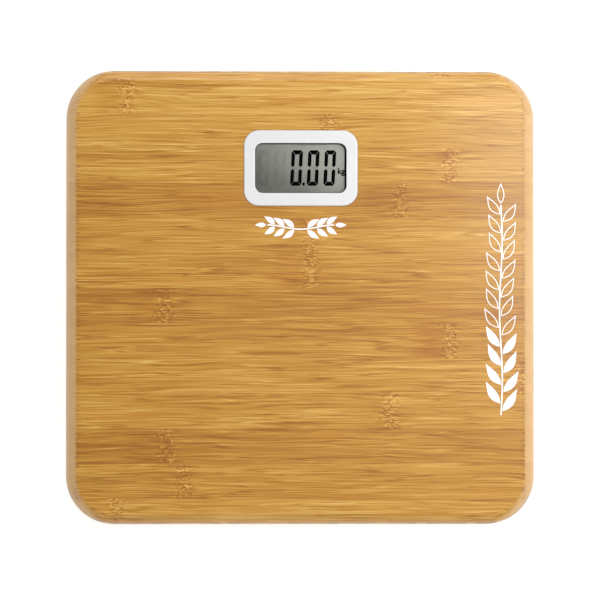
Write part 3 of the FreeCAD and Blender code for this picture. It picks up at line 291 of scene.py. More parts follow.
def bamboo():
    """Three plies of strips. The outer plies run along X and the core runs along Y."""
    s = Shader("bamboo", **LACQUER)
    x, y, z = s.split(s.position())
    height = s.distance(z, (board_low.z + board_high.z) / 2 / MM)
    core = s.math("LESS_THAN", height, CORE_HALF)
    along = s.choose(core, x, y)
    across = s.choose(core, y, x)
    pitch = s.choose(core, STRIP, CORE_STRIP)
    place = s.math("DIVIDE", s.math("SUBTRACT", FIRST_JOINT + STRIP, across), pitch)
    number = s.math("FLOOR", place)
    luck = s.chance(s.math("ADD", number, s.math("MULTIPLY", core, CORE_DRAW)))
    fibre_place = fibres(s, along, across, z, luck)

    face, grain, scales = long_face(s, core, along, number, luck, fibre_place)
    facing_x, facing_y, facing_z = s.split(s.normal())
    lengthwise = s.math("ABSOLUTE", s.choose(core, facing_x, facing_y))
    wood = s.mix(s.mapped(lengthwise, 0.20, 0.50), face, end_grain(s, core, luck, fibre_place))
    # Painted highlight: the ends that face left and right are paled, most where they stand upright, as if
    # they reflected the soft boxes.
    painted_rim_highlight = s.mapped(s.math("ABSOLUTE", facing_z), 0.0, 0.50, 0.60, 0.0)
    wood = s.mix(s.math("MULTIPLY", painted_rim_highlight, s.math("ABSOLUTE", facing_x)), wood, RIM_HIGHLIGHT_PALE)

    joint = glue_line(s, s.math("FRACT", place), pitch)
    ply_line = s.mapped(s.distance(height, CORE_HALF), 0.05, 0.22, 1, 0)
    ticks = crease_ticks(s, along, fibre_place)
    for line, shows in ((ticks, TICKS_SHOW), (joint, JOINTS_SHOW), (ply_line, PLY_LINES_SHOW)):
        wood = s.mix(s.math("MULTIPLY", line, shows), wood, GLUE_BROWN)
    s.bump(s.math("MULTIPLY_ADD", joint, -JOINT_DEPTH, s.math("ADD", grain, scales)), GRAIN_DEPTH)
    s.set(base_color=wood, roughness=s.mapped(grain, 0.3, 0.7, 0.34, 0.44))
    return s.material


def fibres(s, along, across, z, luck):
    """The place among the fibres, which sway. Each strip has its own stretch of cane."""
    shift = s.math("MULTIPLY", luck, CANE_LENGTH)
    slow = s.joined(s.math("MULTIPLY", along, 0.011), s.math("MULTIPLY", across, 0.05), shift)
    wavy = s.swing(s.noise(slow, detail=1), FIBRE_SWAY, across)
    return s.joined(s.math("ADD", along, shift), wavy, s.math("ADD", z, shift))


def long_face(s, core, along, number, luck, fibre_place):
    """The colour of wood that isn't cut across, its finest grain, and the scales of its knuckles."""
    tone, knuckle, stain_depth = strip_table(s, number)
    tone = s.choose(core, tone, s.mapped(luck, 0, 1, 0.18, 0.72, smooth=False))
    tone, grain = add_grain(s, tone, fibre_place)
    offset = from_knuckle(s, along, fibre_place, s.choose(core, knuckle, luck))
    tone, band, scales = add_knuckle(s, tone, offset, fibre_place)
    stain_depth = s.math("MULTIPLY", stain_depth, s.math("SUBTRACT", 1, core))
    stain = s.math("MULTIPLY", stain_mask(s, offset), stain_depth)
    tone = s.math("MULTIPLY_ADD", stain, -0.22, tone)
    red = s.math("MAXIMUM", stain, s.math("MULTIPLY", band, 0.3))
    outer_face = reddened(s, s.ramp(tone, WOOD_TONES), red, fibre_place)
    core_face = s.ramp(s.math("ADD", tone, 0.2), END_TONES)
    return s.mix(core, outer_face, core_face), grain, scales


def strip_table(s, number):
    """The entry of STRIPS for the strip of this number, as three outputs."""
    count = len(STRIPS)
    looked_up = s.math("DIVIDE", s.math("ADD", number, 0.5), count)
    stops = [(n / count, entry) for n, entry in enumerate(STRIPS)]
    return s.node("SeparateColor", s.ramp(looked_up, stops, "CONSTANT")).outputs


def add_grain(s, tone, fibre_place):
    """The tone with its grain, threads and flecks, and the finest layer of grain for the relief."""
    for along_rate, across_rate, detail, share in GRAIN_LAYERS:
        layer = s.noise(s.stretched(fibre_place, (along_rate, across_rate, across_rate)), detail=detail)
        tone = s.swing(layer, share, tone)
    patches = s.noise(s.stretched(fibre_place, (0.014, 0.16, 0.16)), detail=1)
    patches = s.mapped(patches, 0.30, 0.60, 0.35, 1.0)
    for along_rate, across_rate, width, share in THREADS:
        swell = s.noise(s.stretched(fibre_place, (along_rate, across_rate, across_rate)), detail=1)
        thread = s.mapped(s.distance(swell, 0.5), 0.0, width, share, 0.0)
        tone = s.math("MULTIPLY_ADD", thread, patches, tone)
    flecks = s.noise(s.stretched(fibre_place, (0.075, 1.1, 1.1)), detail=1)
    tone = s.math("MULTIPLY_ADD", s.mapped(flecks, 0.64, 0.74), -0.10, tone)
    return tone, layer


def reddened(s, face, stain, fibre_place):
    """The wood's colour with its redder patches and stains."""
    drift = s.noise(s.stretched(fibre_place, (0.010, 0.20, 0.20)), detail=1)
    red = s.math("MULTIPLY", s.mapped(drift, 0.50, 0.72), 0.45)
    red = s.math("MAXIMUM", red, s.math("MULTIPLY", stain, 0.9))
    return s.mix(red, face, s.mix(1.0, face, REDDER, "MULTIPLY"))


def from_knuckle(s, along, fibre_place, share):
    """The distance along the strip from its knuckle, with a ragged edge."""
    length = (board_high.x - board_low.x) / MM
    offset = s.swing(share, -length, along)
    ragged = s.noise(s.stretched(fibre_place, (0.12, 0.40, 0.40)), detail=2)
    return s.swing(ragged, KNUCKLE_RAGGED, offset)


def add_knuckle(s, tone, offset, fibre_place):
    """The tone with the knuckle's band of small scales, pale and dark, and the bent grain around it."""
    near = s.math("ABSOLUTE", offset)
    band = s.mapped(near, 2, 8, 1, 0)
    halo = s.mapped(near, 5, 22, 1, 0)
    bent = s.noise(s.stretched(fibre_place, (0.22, 0.75, 0.75)), detail=2, distortion=2.2)
    swirl = s.noise(s.stretched(fibre_place, (0.05, 0.45, 0.45)), detail=2, distortion=1.2)
    scales = s.cells(s.stretched(fibre_place, (0.36, 0.85, 0.85)))
    mottle = s.math("ADD", s.math("MULTIPLY", scales, 0.45), s.math("MULTIPLY_ADD", bent, 1.7, -1.13))
    tone = s.math("MULTIPLY_ADD", s.math("MULTIPLY", band, mottle), 1.50, tone)
    ripple = s.math("MULTIPLY", halo, s.math("SUBTRACT", swirl, 0.52))
    tone = s.math("MULTIPLY_ADD", ripple, 0.85, tone)
    return tone, band, s.math("MULTIPLY", band, scales)


def stain_mask(s, offset):
    """The darker stain on the root side of a knuckle."""
    return s.mapped(s.distance(offset, STAIN_PLACE), 2, 17, 1, 0)


def end_grain(s, core, luck, fibre_place):
    """The cut ends of the fibres: pale tan on the outer plies, and a tone for each strip of the core."""
    bundles = s.cells(s.stretched(fibre_place, (0.04, 1.35, 1.35)))
    pores = s.mapped(bundles, 0.12, 0.40, 0.82, 1.0)
    cloud = s.noise(s.stretched(fibre_place, (0.03, 0.10, 0.10)), detail=2)
    tone = s.swing(cloud, 0.35, s.math("MULTIPLY_ADD", luck, 0.10, 0.62))
    outer = s.ramp(s.math("MULTIPLY", tone, pores), END_TONES)
    inner = s.math("MULTIPLY", s.mapped(luck, 0, 1, 0.15, 0.90, smooth=False), pores)
    return s.mix(core, outer, s.ramp(inner, CORE_TONES))


def crease_ticks(s, along, fibre_place):
    """Short dark marks where the fibres come out at the crease of a rounded end."""
    crease = (board_high.x - board_low.x) / 2 / MM - CREASE_INSET
    near = s.mapped(s.distance(s.math("ABSOLUTE", along), crease), 0.3, 2.4, 1, 0)
    ticks = s.noise(s.stretched(fibre_place, (0.16, 0.95, 0.95)), detail=1)
    return s.math("MULTIPLY", near, s.mapped(ticks, 0.52, 0.66))


def glue_line(s, part, pitch):
    """The joint between two strips, as a thin line. part goes from 0 to 1 across a strip."""
    from_joint = s.math("MULTIPLY", s.math("MINIMUM", part, s.math("SUBTRACT", 1, part)), pitch)
    return s.mapped(from_joint, 0.03, 0.20, 1, 0)


# ---- plastics, rubber and print -------------------------------------------------------------------------


def moulded(name, colour, roughness, texture_mm, depth_mm):
    """Moulded plastic or rubber: a fine texture, faint flow marks and a slightly uneven sheen."""
    s = Shader(name)
    place = s.position()
    fine = 1 / texture_mm
    texture = s.noise(s.stretched(place, (fine, fine, fine)), detail=2, roughness=0.6)
    flow = s.noise(s.stretched(place, (0.035, 0.06, 0.05)), detail=2)
    darker = tuple(c * 0.97 for c in colour)
    s.set(base_color=s.mix(s.mapped(flow, 0.35, 0.65), colour, darker))
    s.set(roughness=s.mapped(texture, 0.3, 0.7, roughness - 0.05, roughness + 0.07))
    s.bump(texture, depth_mm)
    return s.material


def display_window():
    """Clear acrylic, with a few hair scratches that only its gloss shows."""
    s = Shader("clear_acrylic", base_color=(0.97, 0.98, 0.98), ior=1.46, transmission_weight=1.0)
    place = s.position()
    scratches = s.noise(s.stretched(place, (0.05, 3.5, 1)), detail=1)
    s.set(roughness=s.mapped(scratches, 0.66, 0.74, 0.0, 0.05))
    return s.material


# The glass's colour from its heel left corner to its toe right corner: a painted glare, lighter towards the
# toe right corner, as if a soft box were reflected there.
PAINTED_GLARE_TONES = (
    (0.0, (0.200, 0.196, 0.172)),
    (0.3, (0.255, 0.250, 0.218)),
    (0.6, (0.500, 0.492, 0.435)),
    (1.0, (0.710, 0.700, 0.612)),
)


def display_glass():
    """The liquid crystal cell over its reflector: grey-green, with a painted glare that grows lighter
    towards its toe right corner and drifts, and faint columns.
    """
    s = Shader("display_glass", roughness=0.30, specular_ior_level=0.2)
    low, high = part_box("lcd_front_glass")
    place = s.position()
    x, y, _ = s.split(place)
    u = s.mapped(x, low.x / MM, high.x / MM, smooth=False)
    v = s.mapped(y, low.y / MM, high.y / MM, smooth=False)
    # Painted glare: the glass lighter towards its toe right corner, standing in for a soft box's
    # reflection; drift makes it uneven, columns are the cell's own faint streaks.
    painted_glare = s.math("ADD", s.math("MULTIPLY", u, 0.56), s.math("MULTIPLY", v, 0.44))
    drift = s.noise(s.stretched(place, (0.05, 0.03, 0)), detail=1)
    columns = s.noise(s.stretched(place, (0.5, 0.012, 0)), detail=2)
    painted_glare = s.swing(columns, 0.06, s.swing(drift, 0.16, painted_glare))
    grit = s.noise(s.stretched(place, (6, 6, 6)), detail=2)
    s.set(base_color=s.mix(s.mapped(grit, 0.3, 0.7, 0, 0.06), s.ramp(painted_glare, PAINTED_GLARE_TONES), (0.60, 0.61, 0.54)))
    return s.material


def printed_ink(name, colour, roughness, gloss=0.5):
    """Screen-printed ink, a little uneven."""
    s = Shader(name, specular_ior_level=gloss)
    place = s.position()
    screen = s.noise(s.stretched(place, (4, 4, 4)), detail=1)
    cover = s.noise(s.stretched(place, (0.3, 1.1, 0.3)), detail=2)
    thin = tuple(c * 0.92 for c in colour)
    s.set(base_color=s.mix(s.mapped(cover, 0.35, 0.7), colour, thin))
    s.set(roughness=s.mapped(screen, 0.3, 0.7, roughness - 0.05, roughness + 0.05))
    return s.material


# ---- metals and electronics -----------------------------------------------------------------------------


def metal(name, colour, roughness, stretch, depth_mm=0.004):
    """Plated or brushed metal. stretch is how fine the marks are along each axis, per millimetre."""
    s = Shader(name, metallic=1.0)
    place = s.position()
    marks = s.noise(s.stretched(place, stretch), detail=3, roughness=0.65)
    stain = s.noise(s.stretched(place, (0.12, 0.12, 0.12)), detail=2)
    dull = tuple(c * 0.78 for c in colour)
    s.set(base_color=s.mix(s.mapped(stain, 0.4, 0.7), colour, dull))
    s.set(roughness=s.mapped(marks, 0.3, 0.7, roughness - 0.08, roughness + 0.12))
    s.bump(marks, depth_mm)
    return s.material


# The circuit's tracks, in millimetres: how far apart they are, how far one runs before it may step aside,
# and the most that this is shifted from row to row.
TRACK_PITCH = 1.6
TRACK_STEP = 9
MOST_SHIFT = 30


def circuit_board():
    """Green solder mask over copper tracks that run in steps, with tinned pads here and there."""
    s = Shader("circuit_board")
    x, y, _ = s.split(s.position())
    row = s.math("FLOOR", s.math("DIVIDE", y, TRACK_PITCH))
    shifted = s.math("ADD", x, s.math("MULTIPLY", s.chance(row), MOST_SHIFT))
    bend = s.math("FLOOR", s.math("DIVIDE", shifted, TRACK_STEP))
    lane = s.math("ADD", y, s.math("MULTIPLY", s.chance(bend), TRACK_PITCH))
    across = s.distance(s.math("FRACT", s.math("DIVIDE", lane, TRACK_PITCH)), 0.5)
    track = s.mapped(across, 0.16, 0.20, 1, 0)
    pads = s.cells(s.joined(s.math("MULTIPLY", x, 0.16), s.math("MULTIPLY", y, 0.16), 0))
    pad = s.mapped(pads, 0.10, 0.115, 1, 0)
    mask = s.mix(track, (0.006, 0.105, 0.030), (0.018, 0.200, 0.055))
    s.set(base_color=s.mix(pad, mask, (0.55, 0.55, 0.52)), roughness=s.mapped(pads, 0, 1, 0.25, 0.4))
    s.bump(s.math("MAXIMUM", track, pad), 0.03)
    return s.material


# Along a cell from the tip of its raised end, in millimetres.
BARE_END = 1.2
COPPER_END = 11
HAIRLINE = 12.2


def battery_jacket(node, way):
    """A foil jacket: charcoal, with a copper-coloured band and bare steel at the raised end, which points
    along X if way is 1 and against it if way is -1.
    """
    s = Shader("battery_jacket_" + node)
    low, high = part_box(node)
    x, _, _ = s.split(s.position())
    tip = (high.x if way > 0 else low.x) / MM
    from_tip = s.math("MULTIPLY", s.math("SUBTRACT", tip, x), way)
    flecks = s.noise(s.stretched(s.position(), (3, 3, 3)), detail=1)
    charcoal = s.mix(s.mapped(flecks, 0.5, 0.8), (0.018, 0.020, 0.024), (0.05, 0.055, 0.065))
    band = s.math("LESS_THAN", from_tip, COPPER_END)
    bare = s.math("LESS_THAN", from_tip, BARE_END)
    hairline = s.mapped(s.distance(from_tip, HAIRLINE), 0.20, 0.24, 1, 0)
    colour = s.mix(band, charcoal, (0.62, 0.28, 0.10))
    colour = s.mix(hairline, colour, (0.62, 0.62, 0.60))
    s.set(base_color=s.mix(bare, colour, (0.62, 0.62, 0.63)))
    s.set(metallic=s.math("MAXIMUM", s.math("MULTIPLY", band, 0.8), bare))
    s.set(roughness=s.mapped(flecks, 0.3, 0.7, 0.2, 0.32))
    return s.material


def ceramic_chip():
    """A fired ceramic body with a grain of its own colour."""
    s = Shader("ceramic_chip", roughness=0.45)
    grit = s.noise(s.stretched(s.position(), (9, 9, 9)), detail=2)
    s.set(base_color=s.mix(s.mapped(grit, 0.3, 0.7), (0.22, 0.14, 0.08), (0.34, 0.24, 0.15)))
    s.bump(grit, 0.01)
    return s.material


def dress_frame():
    """Gives every CAD node its material."""
    white = moulded("white_abs", (0.665, 0.665, 0.672), 0.30, 0.5, 0.004)
    casing = moulded("textured_abs", (0.60, 0.60, 0.585), 0.52, 0.35, 0.02)
    black = moulded("black_abs", (0.012, 0.012, 0.013), 0.45, 0.35, 0.01)
    grey = moulded("grey_abs", (0.115, 0.12, 0.125), 0.48, 0.35, 0.015)
    rubber = moulded("foot_rubber", (0.045, 0.045, 0.047), 0.72, 0.30, 0.04)
    silicone = moulded("silicone", (0.50, 0.50, 0.47), 0.60, 0.40, 0.01)
    foam = moulded("foam", (0.03, 0.03, 0.03), 0.95, 0.45, 0.12)
    epoxy = moulded("epoxy", (0.010, 0.010, 0.011), 0.22, 2.5, 0.02)
    resin = moulded("gauge_resin", (0.62, 0.61, 0.56), 0.35, 1.0, 0.03)
    red_wire = moulded("red_pvc", (0.42, 0.012, 0.010), 0.35, 0.6, 0.006)
    black_wire = moulded("black_pvc", (0.012, 0.012, 0.013), 0.35, 0.6, 0.006)
    grey_wire = moulded("grey_pvc", (0.40, 0.40, 0.40), 0.35, 0.6, 0.006)
    steel = metal("load_cell_steel", (0.50, 0.49, 0.47), 0.34, (0.25, 6, 6))
    nickel = metal("nickel", (0.70, 0.68, 0.64), 0.18, (1.5, 1.5, 1.5))
    zinc = metal("zinc_plate", (0.60, 0.61, 0.63), 0.28, (2, 2, 2))
    film = metal("reflector_film", (0.42, 0.43, 0.38), 0.45, (3, 3, 3))

    dress("platform_board", bamboo())
    dress("display_lens", display_window())
    dress("main_pcb", circuit_board())
    dress("battery_heel_side", battery_jacket("battery_heel_side", 1))
    dress("battery_toe_side", battery_jacket("battery_toe_side", -1))
    glass = display_glass()
    chip = ceramic_chip()
    table = {
        white: ("display_bezel",),
        casing: ("rear_cover", "battery_door"),
        black: ("lcd_carrier", "switch_body"),
        grey: ("unit_button", "switch_plunger"),
        silicone: ("zebra_connector",),
        foam: ("lcd_support_foam",),
        epoxy: ("controller_glob_top",),
        resin: ("strain_gauges",),
        red_wire: ("battery_lead_red",),
        black_wire: ("battery_lead_black",),
        nickel: (
            "clock_crystal",
            "battery_bridge_contact",
            "battery_positive_contact",
            "battery_negative_contact",
            "battery_bridge_spring",
            "battery_negative_spring",
        ),
        zinc: ("pcb_screws", "rear_cover_screws", "housing_screws"),
        film: ("lcd_reflector",),
        glass: ("lcd_front_glass", "lcd_rear_glass"),
        chip: ("chip_capacitors", "chip_resistors"),
    }
    for material, names in table.items():
        for name in names:
            dress(name, material)
    for corner in CORNERS:
        dress(f"sensor_housing_{corner}", casing)
        dress(f"foot_carrier_{corner}", casing)
        dress(f"channel_strip_{corner}", casing)
        dress(f"foot_pad_{corner}", rubber)
        dress(f"load_cell_{corner}", steel)
        dress(f"sensor_leads_{corner}", grey_wire)


# ---- flat pieces ----------------------------------------------------------------------------------------


def plate(name, outlines, bottom, thick, material):
    """One piece of flat shapes, each a closed outline or an (outer, inner) pair of them, in metres."""
    vertices = []
    faces = []
    for outline in outlines:
        if isinstance(outline, tuple):
            add_band(vertices, faces, *outline, bottom, thick)
        else:
            add_slab(vertices, faces, outline, bottom, thick)
    mesh = bpy.data.meshes.new(name)
    mesh.from_pydata(vertices, [], faces)
    mesh.validate()
    add_print(name, mesh, material)


def add_print(name, mesh, material):
    """Puts a printed mesh into the scene. It moves with the platform."""
    mesh.materials.append(material)
    piece = bpy.data.objects.new(name, mesh)
    bpy.context.scene.collection.objects.link(piece)
    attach(piece, PLATFORM)


def add_slab(vertices, faces, outline, bottom, thick):
    """A flat solid with one closed outline, which runs anticlockwise from above."""
    start, count = len(vertices), len(outline)
    for level in (bottom, bottom + thick):
        vertices.extend((x, y, level) for x, y in outline)
    lower = list(range(start, start + count))
    upper = [n + count for n in lower]
    faces.append(tuple(reversed(lower)))
    faces.append(tuple(upper))
    for n in range(count):
        after = (n + 1) % count
        faces.append((lower[n], lower[after], upper[after], upper[n]))


def add_band(vertices, faces, outer, inner, bottom, thick):
    """A flat solid between two closed outlines with the same number of points."""
    start, count = len(vertices), len(outer)
    for level in (bottom, bottom + thick):
        for outline in (outer, inner):
            vertices.extend((x, y, level) for x, y in outline)
    low_out, low_in, high_out, high_in = (
        [start + ring * count + n for n in range(count)] for ring in range(4)
    )
    for n in range(count):
        after = (n + 1) % count
        faces.append((high_out[n], high_out[after], high_in[after], high_in[n]))
        faces.append((low_out[n], low_in[n], low_in[after], low_out[after]))
        faces.append((low_out[n], low_out[after], high_out[after], high_out[n]))
        faces.append((low_in[n], high_in[n], high_in[after], low_in[after]))


# ---- the display's picture ------------------------------------------------------------------------------

# Sizes of a digit and of the decimal point, and the unit's box and how bold its letters are.
DIGIT_HEIGHT = 23.5 * MM
DIGIT_WIDTH = 7.5 * MM
DIGIT_PITCH = 11.0 * MM
DIGIT_SLANT = math.radians(2.9)
SIDE_BAR = 2.35 * MM
END_BAR = 2.8 * MM
CORNER_CUT = 1.25 * MM
MITRE_GAP = 0.06 * MM
WAIST_GAP = 0.55 * MM
POINT_WIDTH = 1.5 * MM
POINT_HEIGHT = 2.1 * MM
POINT_LEAN = 0.1 * MM
UNIT_WIDTH = 4.7 * MM
UNIT_HEIGHT = 5.3 * MM
UNIT_WEIGHT = 0.028
PICTURE_THICK = 0.03 * MM

# Places from the middle of the window, and the point's place from its digit.
FIRST_DIGIT = -7.1 * MM
DIGIT_FOOT = -11.6 * MM
POINT_LEFT = -2.75 * MM
UNIT_LEFT = 24.6 * MM
UNIT_FOOT = -5.1 * MM


def segments(lit):
    """The outlines of a seven-segment digit, standing on its own origin. lit names the segments to draw."""
    width, height = DIGIT_WIDTH, DIGIT_HEIGHT
    side, end, cut, gap = SIDE_BAR, END_BAR, CORNER_CUT, MITRE_GAP
    waist = height / 2
    bar = [
        (cut, height),
        (width - cut, height),
        (width - cut / 2 - gap, height - cut / 2),
        (width - side - gap, height - end),
        (side + gap, height - end),
        (cut / 2 + gap, height - cut / 2),
    ]
    post = [
        (0, height - cut - gap),
        (cut / 2 - gap, height - cut / 2 - 2 * gap),
        (side - gap, height - end - 2 * gap),
        (side, height - end - 3 * gap),
        (side, waist + WAIST_GAP + side / 2),
        (side / 2, waist + WAIST_GAP),
        (0, waist + WAIST_GAP + side / 2),
    ]
    half = side / 2
    middle = [
        (half + gap, waist),
        (side, waist + half),
        (width - side, waist + half),
        (width - half - gap, waist),
        (width - side, waist - half),
        (side, waist - half),
    ]
    shapes = {
        "a": bar,
        "f": post,
        "b": flipped(post, across=True),
        "d": flipped(bar, down=True),
        "e": flipped(post, down=True),
        "c": flipped(post, across=True, down=True),
        "g": middle,
    }
    return [shapes[name] for name in lit]


def flipped(outline, across=False, down=False):
    """The outline mirrored in the digit's middle, kept anticlockwise or clockwise as it was."""
    moved = [(DIGIT_WIDTH - x if across else x, DIGIT_HEIGHT - y if down else y) for x, y in outline]
    return moved[::-1] if across != down else moved


def slanted(outline, x, y):
    """The outline leaning to the right, with its origin moved to x, y."""
    return [(x + u + v * math.tan(DIGIT_SLANT), y + v) for u, v in outline]


def upright(outline):
    """The outline turned anticlockwise, so that its face looks up."""
    area = sum(x1 * y2 - x2 * y1 for (x1, y1), (x2, y2) in zip(outline, outline[1:] + outline[:1]))
    return outline if area > 0 else outline[::-1]


def picture():
    """The reading 0.00 kg on the display's glass, and the unlit segments, which show a little."""
    glass_low, glass_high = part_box("lcd_front_glass")
    window_low, window_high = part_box("display_lens")
    centre_x = (glass_low.x + glass_high.x) / 2
    centre_y = (window_low.y + window_high.y) / 2
    level = glass_high.z + PICTURE_THICK / 2
    foot = centre_y + DIGIT_FOOT
    lit = []
    unlit = []
    for place in range(-2, 3):
        x = centre_x + FIRST_DIGIT + place * DIGIT_PITCH
        if place < 0:
            unlit.extend(slanted(o, x, foot) for o in segments("abcdefg"))
        else:
            lit.extend(slanted(o, x, foot) for o in segments("abcdef"))
            unlit.extend(slanted(o, x, foot) for o in segments("g"))
    lit.append(decimal_point(centre_x + FIRST_DIGIT + DIGIT_PITCH + POINT_LEFT, foot))
    black = printed_ink("lit_segments", (0.002, 0.002, 0.002), 0.5, gloss=0.02)
    off = unlit_film()
    plate("display_digits", [upright(o) for o in lit], level, PICTURE_THICK, black)
    plate("display_unlit_segments", [upright(o) for o in unlit], level, PICTURE_THICK, off)
    unit_text(centre_x + UNIT_LEFT, centre_y + UNIT_FOOT, level, black)


def decimal_point(x, y):
    """The outline of the decimal point, which leans like the digits."""
    return [
        (x, y),
        (x + POINT_WIDTH, y),
        (x + POINT_WIDTH + POINT_LEAN, y + POINT_HEIGHT),
        (x + POINT_LEAN, y + POINT_HEIGHT),
    ]


def unlit_film():
    """The segments that are off: almost clear, and uneven."""
    s = Shader("unlit_segments", base_color=(0.02, 0.02, 0.02), roughness=0.4)
    wash = s.noise(s.stretched(s.position(), (0.2, 0.1, 0.1)), detail=1)
    s.set(alpha=s.mapped(wash, 0.3, 0.7, 0.015, 0.06))
    return s.material


def unit_text(left, foot, level, material):
    """The unit beside the digits, as mesh letters fitted to its box."""
    curve = bpy.data.curves.new("unit_text", "FONT")
    curve.body = "kg"
    curve.offset = UNIT_WEIGHT
    source = bpy.data.objects.new("unit_text_source", curve)
    letters = bpy.data.meshes.new_from_object(source)
    bpy.data.objects.remove(source)
    low_x, high_x = (end(v.co.x for v in letters.vertices) for end in (min, max))
    low_y, high_y = (end(v.co.y for v in letters.vertices) for end in (min, max))
    wide = UNIT_WIDTH / (high_x - low_x)
    tall = UNIT_HEIGHT / (high_y - low_y)
    for vertex in letters.vertices:
        vertex.co = (left + (vertex.co.x - low_x) * wide, foot + (vertex.co.y - low_y) * tall, level)
    shape = bmesh.new()
    shape.from_mesh(letters)
    lifted = bmesh.ops.extrude_face_region(shape, geom=shape.faces[:])["geom"]
    lifted_corners = [part for part in lifted if isinstance(part, bmesh.types.BMVert)]
    bmesh.ops.translate(shape, verts=lifted_corners, vec=(0, 0, PICTURE_THICK))
    bmesh.ops.recalc_face_normals(shape, faces=shape.faces[:])
    mesh = bpy.data.meshes.new("display_unit")
    shape.to_mesh(mesh)
    shape.free()
    add_print("display_unit", mesh, material)


# ---- the printed twigs ----------------------------------------------------------------------------------

# The ink stands clear of the board by INK_GAP. A leaf's root is LEAF_GAP from the middle of its stem, and
# its bow is a share of its length.
INK_THICK = 0.04 * MM
INK_GAP = 0.005 * MM
LEAF_POINTS = 14
LEAF_GAP = 0.85 * MM
LEAF_BOW = 0.05
STEM_WIDTH = 0.9 * MM
OUTLINE = 0.55 * MM

# The tall twig: its place from the board's right edge, its ends along Y, and how its stem sways.
TALL_INSET = 22.6 * MM
TALL_START = -78 * MM
TALL_END = 61 * MM
TALL_SWAY = 0.9 * MM
TALL_TURNS = 1.5
TALL_STEPS = 40

# Its leaves: how many pairs there are and how many of them are solid, where the first pair is and over how
# much of the stem they spread, how much higher the left leaf of a pair is, their angle to the stem and how
# much it changes, the size of the lowest, how much shorter each next pair is, and the leaf at the tip.
TALL_PAIRS = 11
SOLID_PAIRS = 4
TALL_FIRST = 0.02
TALL_SPREAD = 0.90
TALL_STAGGER = 0.035
TALL_ANGLE = math.radians(33)
ANGLE_CHANGE = math.radians(3)
TALL_LEAF = (17.5 * MM, 5.6 * MM)
TALL_SHORTER = 0.25 * MM
TALL_TIP = (14 * MM, 4.8 * MM)

# The short twig: its place below the display's frame, half its stem, how far the stem sags, and its leaves,
# whose pairs are placed along half the stem from its middle.
SHORT_DROP = 14 * MM
SHORT_REACH = 22 * MM
SHORT_SAG = 1.4 * MM
SHORT_STEPS = 12
SHORT_PAIRS = 3
SHORT_FIRST = 0.20
SHORT_PITCH = 0.29
SHORT_ANGLE = math.radians(36)
SHORT_LEAF = (9.6 * MM, 3.7 * MM)
SHORT_SHORTER = 0.5 * MM
SHORT_TIP = (7.5 * MM, 3.2 * MM)


def leaf(root, angle, size, bow=0.0):
    """The outline of a pointed leaf that starts at root. size is its length and width."""
    length, width = size
    ahead = Vector((math.cos(angle), math.sin(angle)))
    left = Vector((-ahead.y, ahead.x))
    outline = []
    for side in (1, -1):
        for n in range(LEAF_POINTS):
            t = n / LEAF_POINTS if side > 0 else 1 - n / LEAF_POINTS
            half = width / 2 * math.sin(math.pi * t ** 0.80) ** 1.15
            aside = side * half + bow * length * math.sin(math.pi * t)
            outline.append(tuple(Vector(root) + ahead * length * t + left * aside))
    return upright(outline)


def outlined(outline, line):
    """An (outer, inner) pair: the outline and a copy drawn in by the line's width."""
    inner = []
    count = len(outline)
    for n, point in enumerate(outline):
        before, after = Vector(outline[n - 1]), Vector(outline[(n + 1) % count])
        run = (after - before).normalized()
        inward = Vector((-run.y, run.x))
        inner.append(tuple(Vector(point) + inward * line))
    return (outline, inner)


def stem(points, width):
    """A ribbon of even width along a smooth row of points."""
    left = []
    right = []
    for n, point in enumerate(points):
        before, after = points[max(n - 1, 0)], points[min(n + 1, len(points) - 1)]
        run = (Vector(after) - Vector(before)).normalized()
        side = Vector((-run.y, run.x)) * width / 2
        left.append(tuple(Vector(point) + side))
        right.append(tuple(Vector(point) - side))
    return upright(left + right[::-1])


def twigs():
    """White printed twigs: a tall one beside the right edge and a short one below the display."""
    bezel_low, bezel_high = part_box("display_bezel")
    ink = printed_ink("white_ink", (0.90, 0.90, 0.90), 0.45)
    shapes = tall_twig(board_high.x - TALL_INSET)
    shapes += short_twig((bezel_low.x + bezel_high.x) / 2, bezel_low.y - SHORT_DROP)
    plate("printed_twigs", shapes, board_high.z + INK_GAP, INK_THICK, ink)


def tall_twig(x):
    """A twig along Y. Its lower leaves are solid and its upper leaves are drawn in outline."""

    def point(t, aside=0.0):
        wave = TALL_SWAY * math.sin(2 * math.pi * TALL_TURNS * t)
        return (x + wave + aside, TALL_START + (TALL_END - TALL_START) * t)

    length, width = TALL_LEAF
    shapes = [stem([point(n / TALL_STEPS) for n in range(TALL_STEPS + 1)], STEM_WIDTH)]
    for n in range(TALL_PAIRS):
        t = TALL_FIRST + TALL_SPREAD * n / (TALL_PAIRS - 1)
        spread = TALL_ANGLE + ANGLE_CHANGE * math.sin(n * 2.1)
        for side in (1, -1):
            root = point(t + (TALL_STAGGER if side < 0 else 0), side * LEAF_GAP)
            size = (length - n * TALL_SHORTER, width)
            shape = leaf(root, math.pi / 2 - side * spread, size, bow=-LEAF_BOW * side)
            shapes.append(shape if n < SOLID_PAIRS else outlined(shape, OUTLINE))
    tip = leaf((point(1)[0], TALL_END + LEAF_GAP), math.pi / 2, TALL_TIP)
    shapes.append(outlined(tip, OUTLINE))
    return shapes


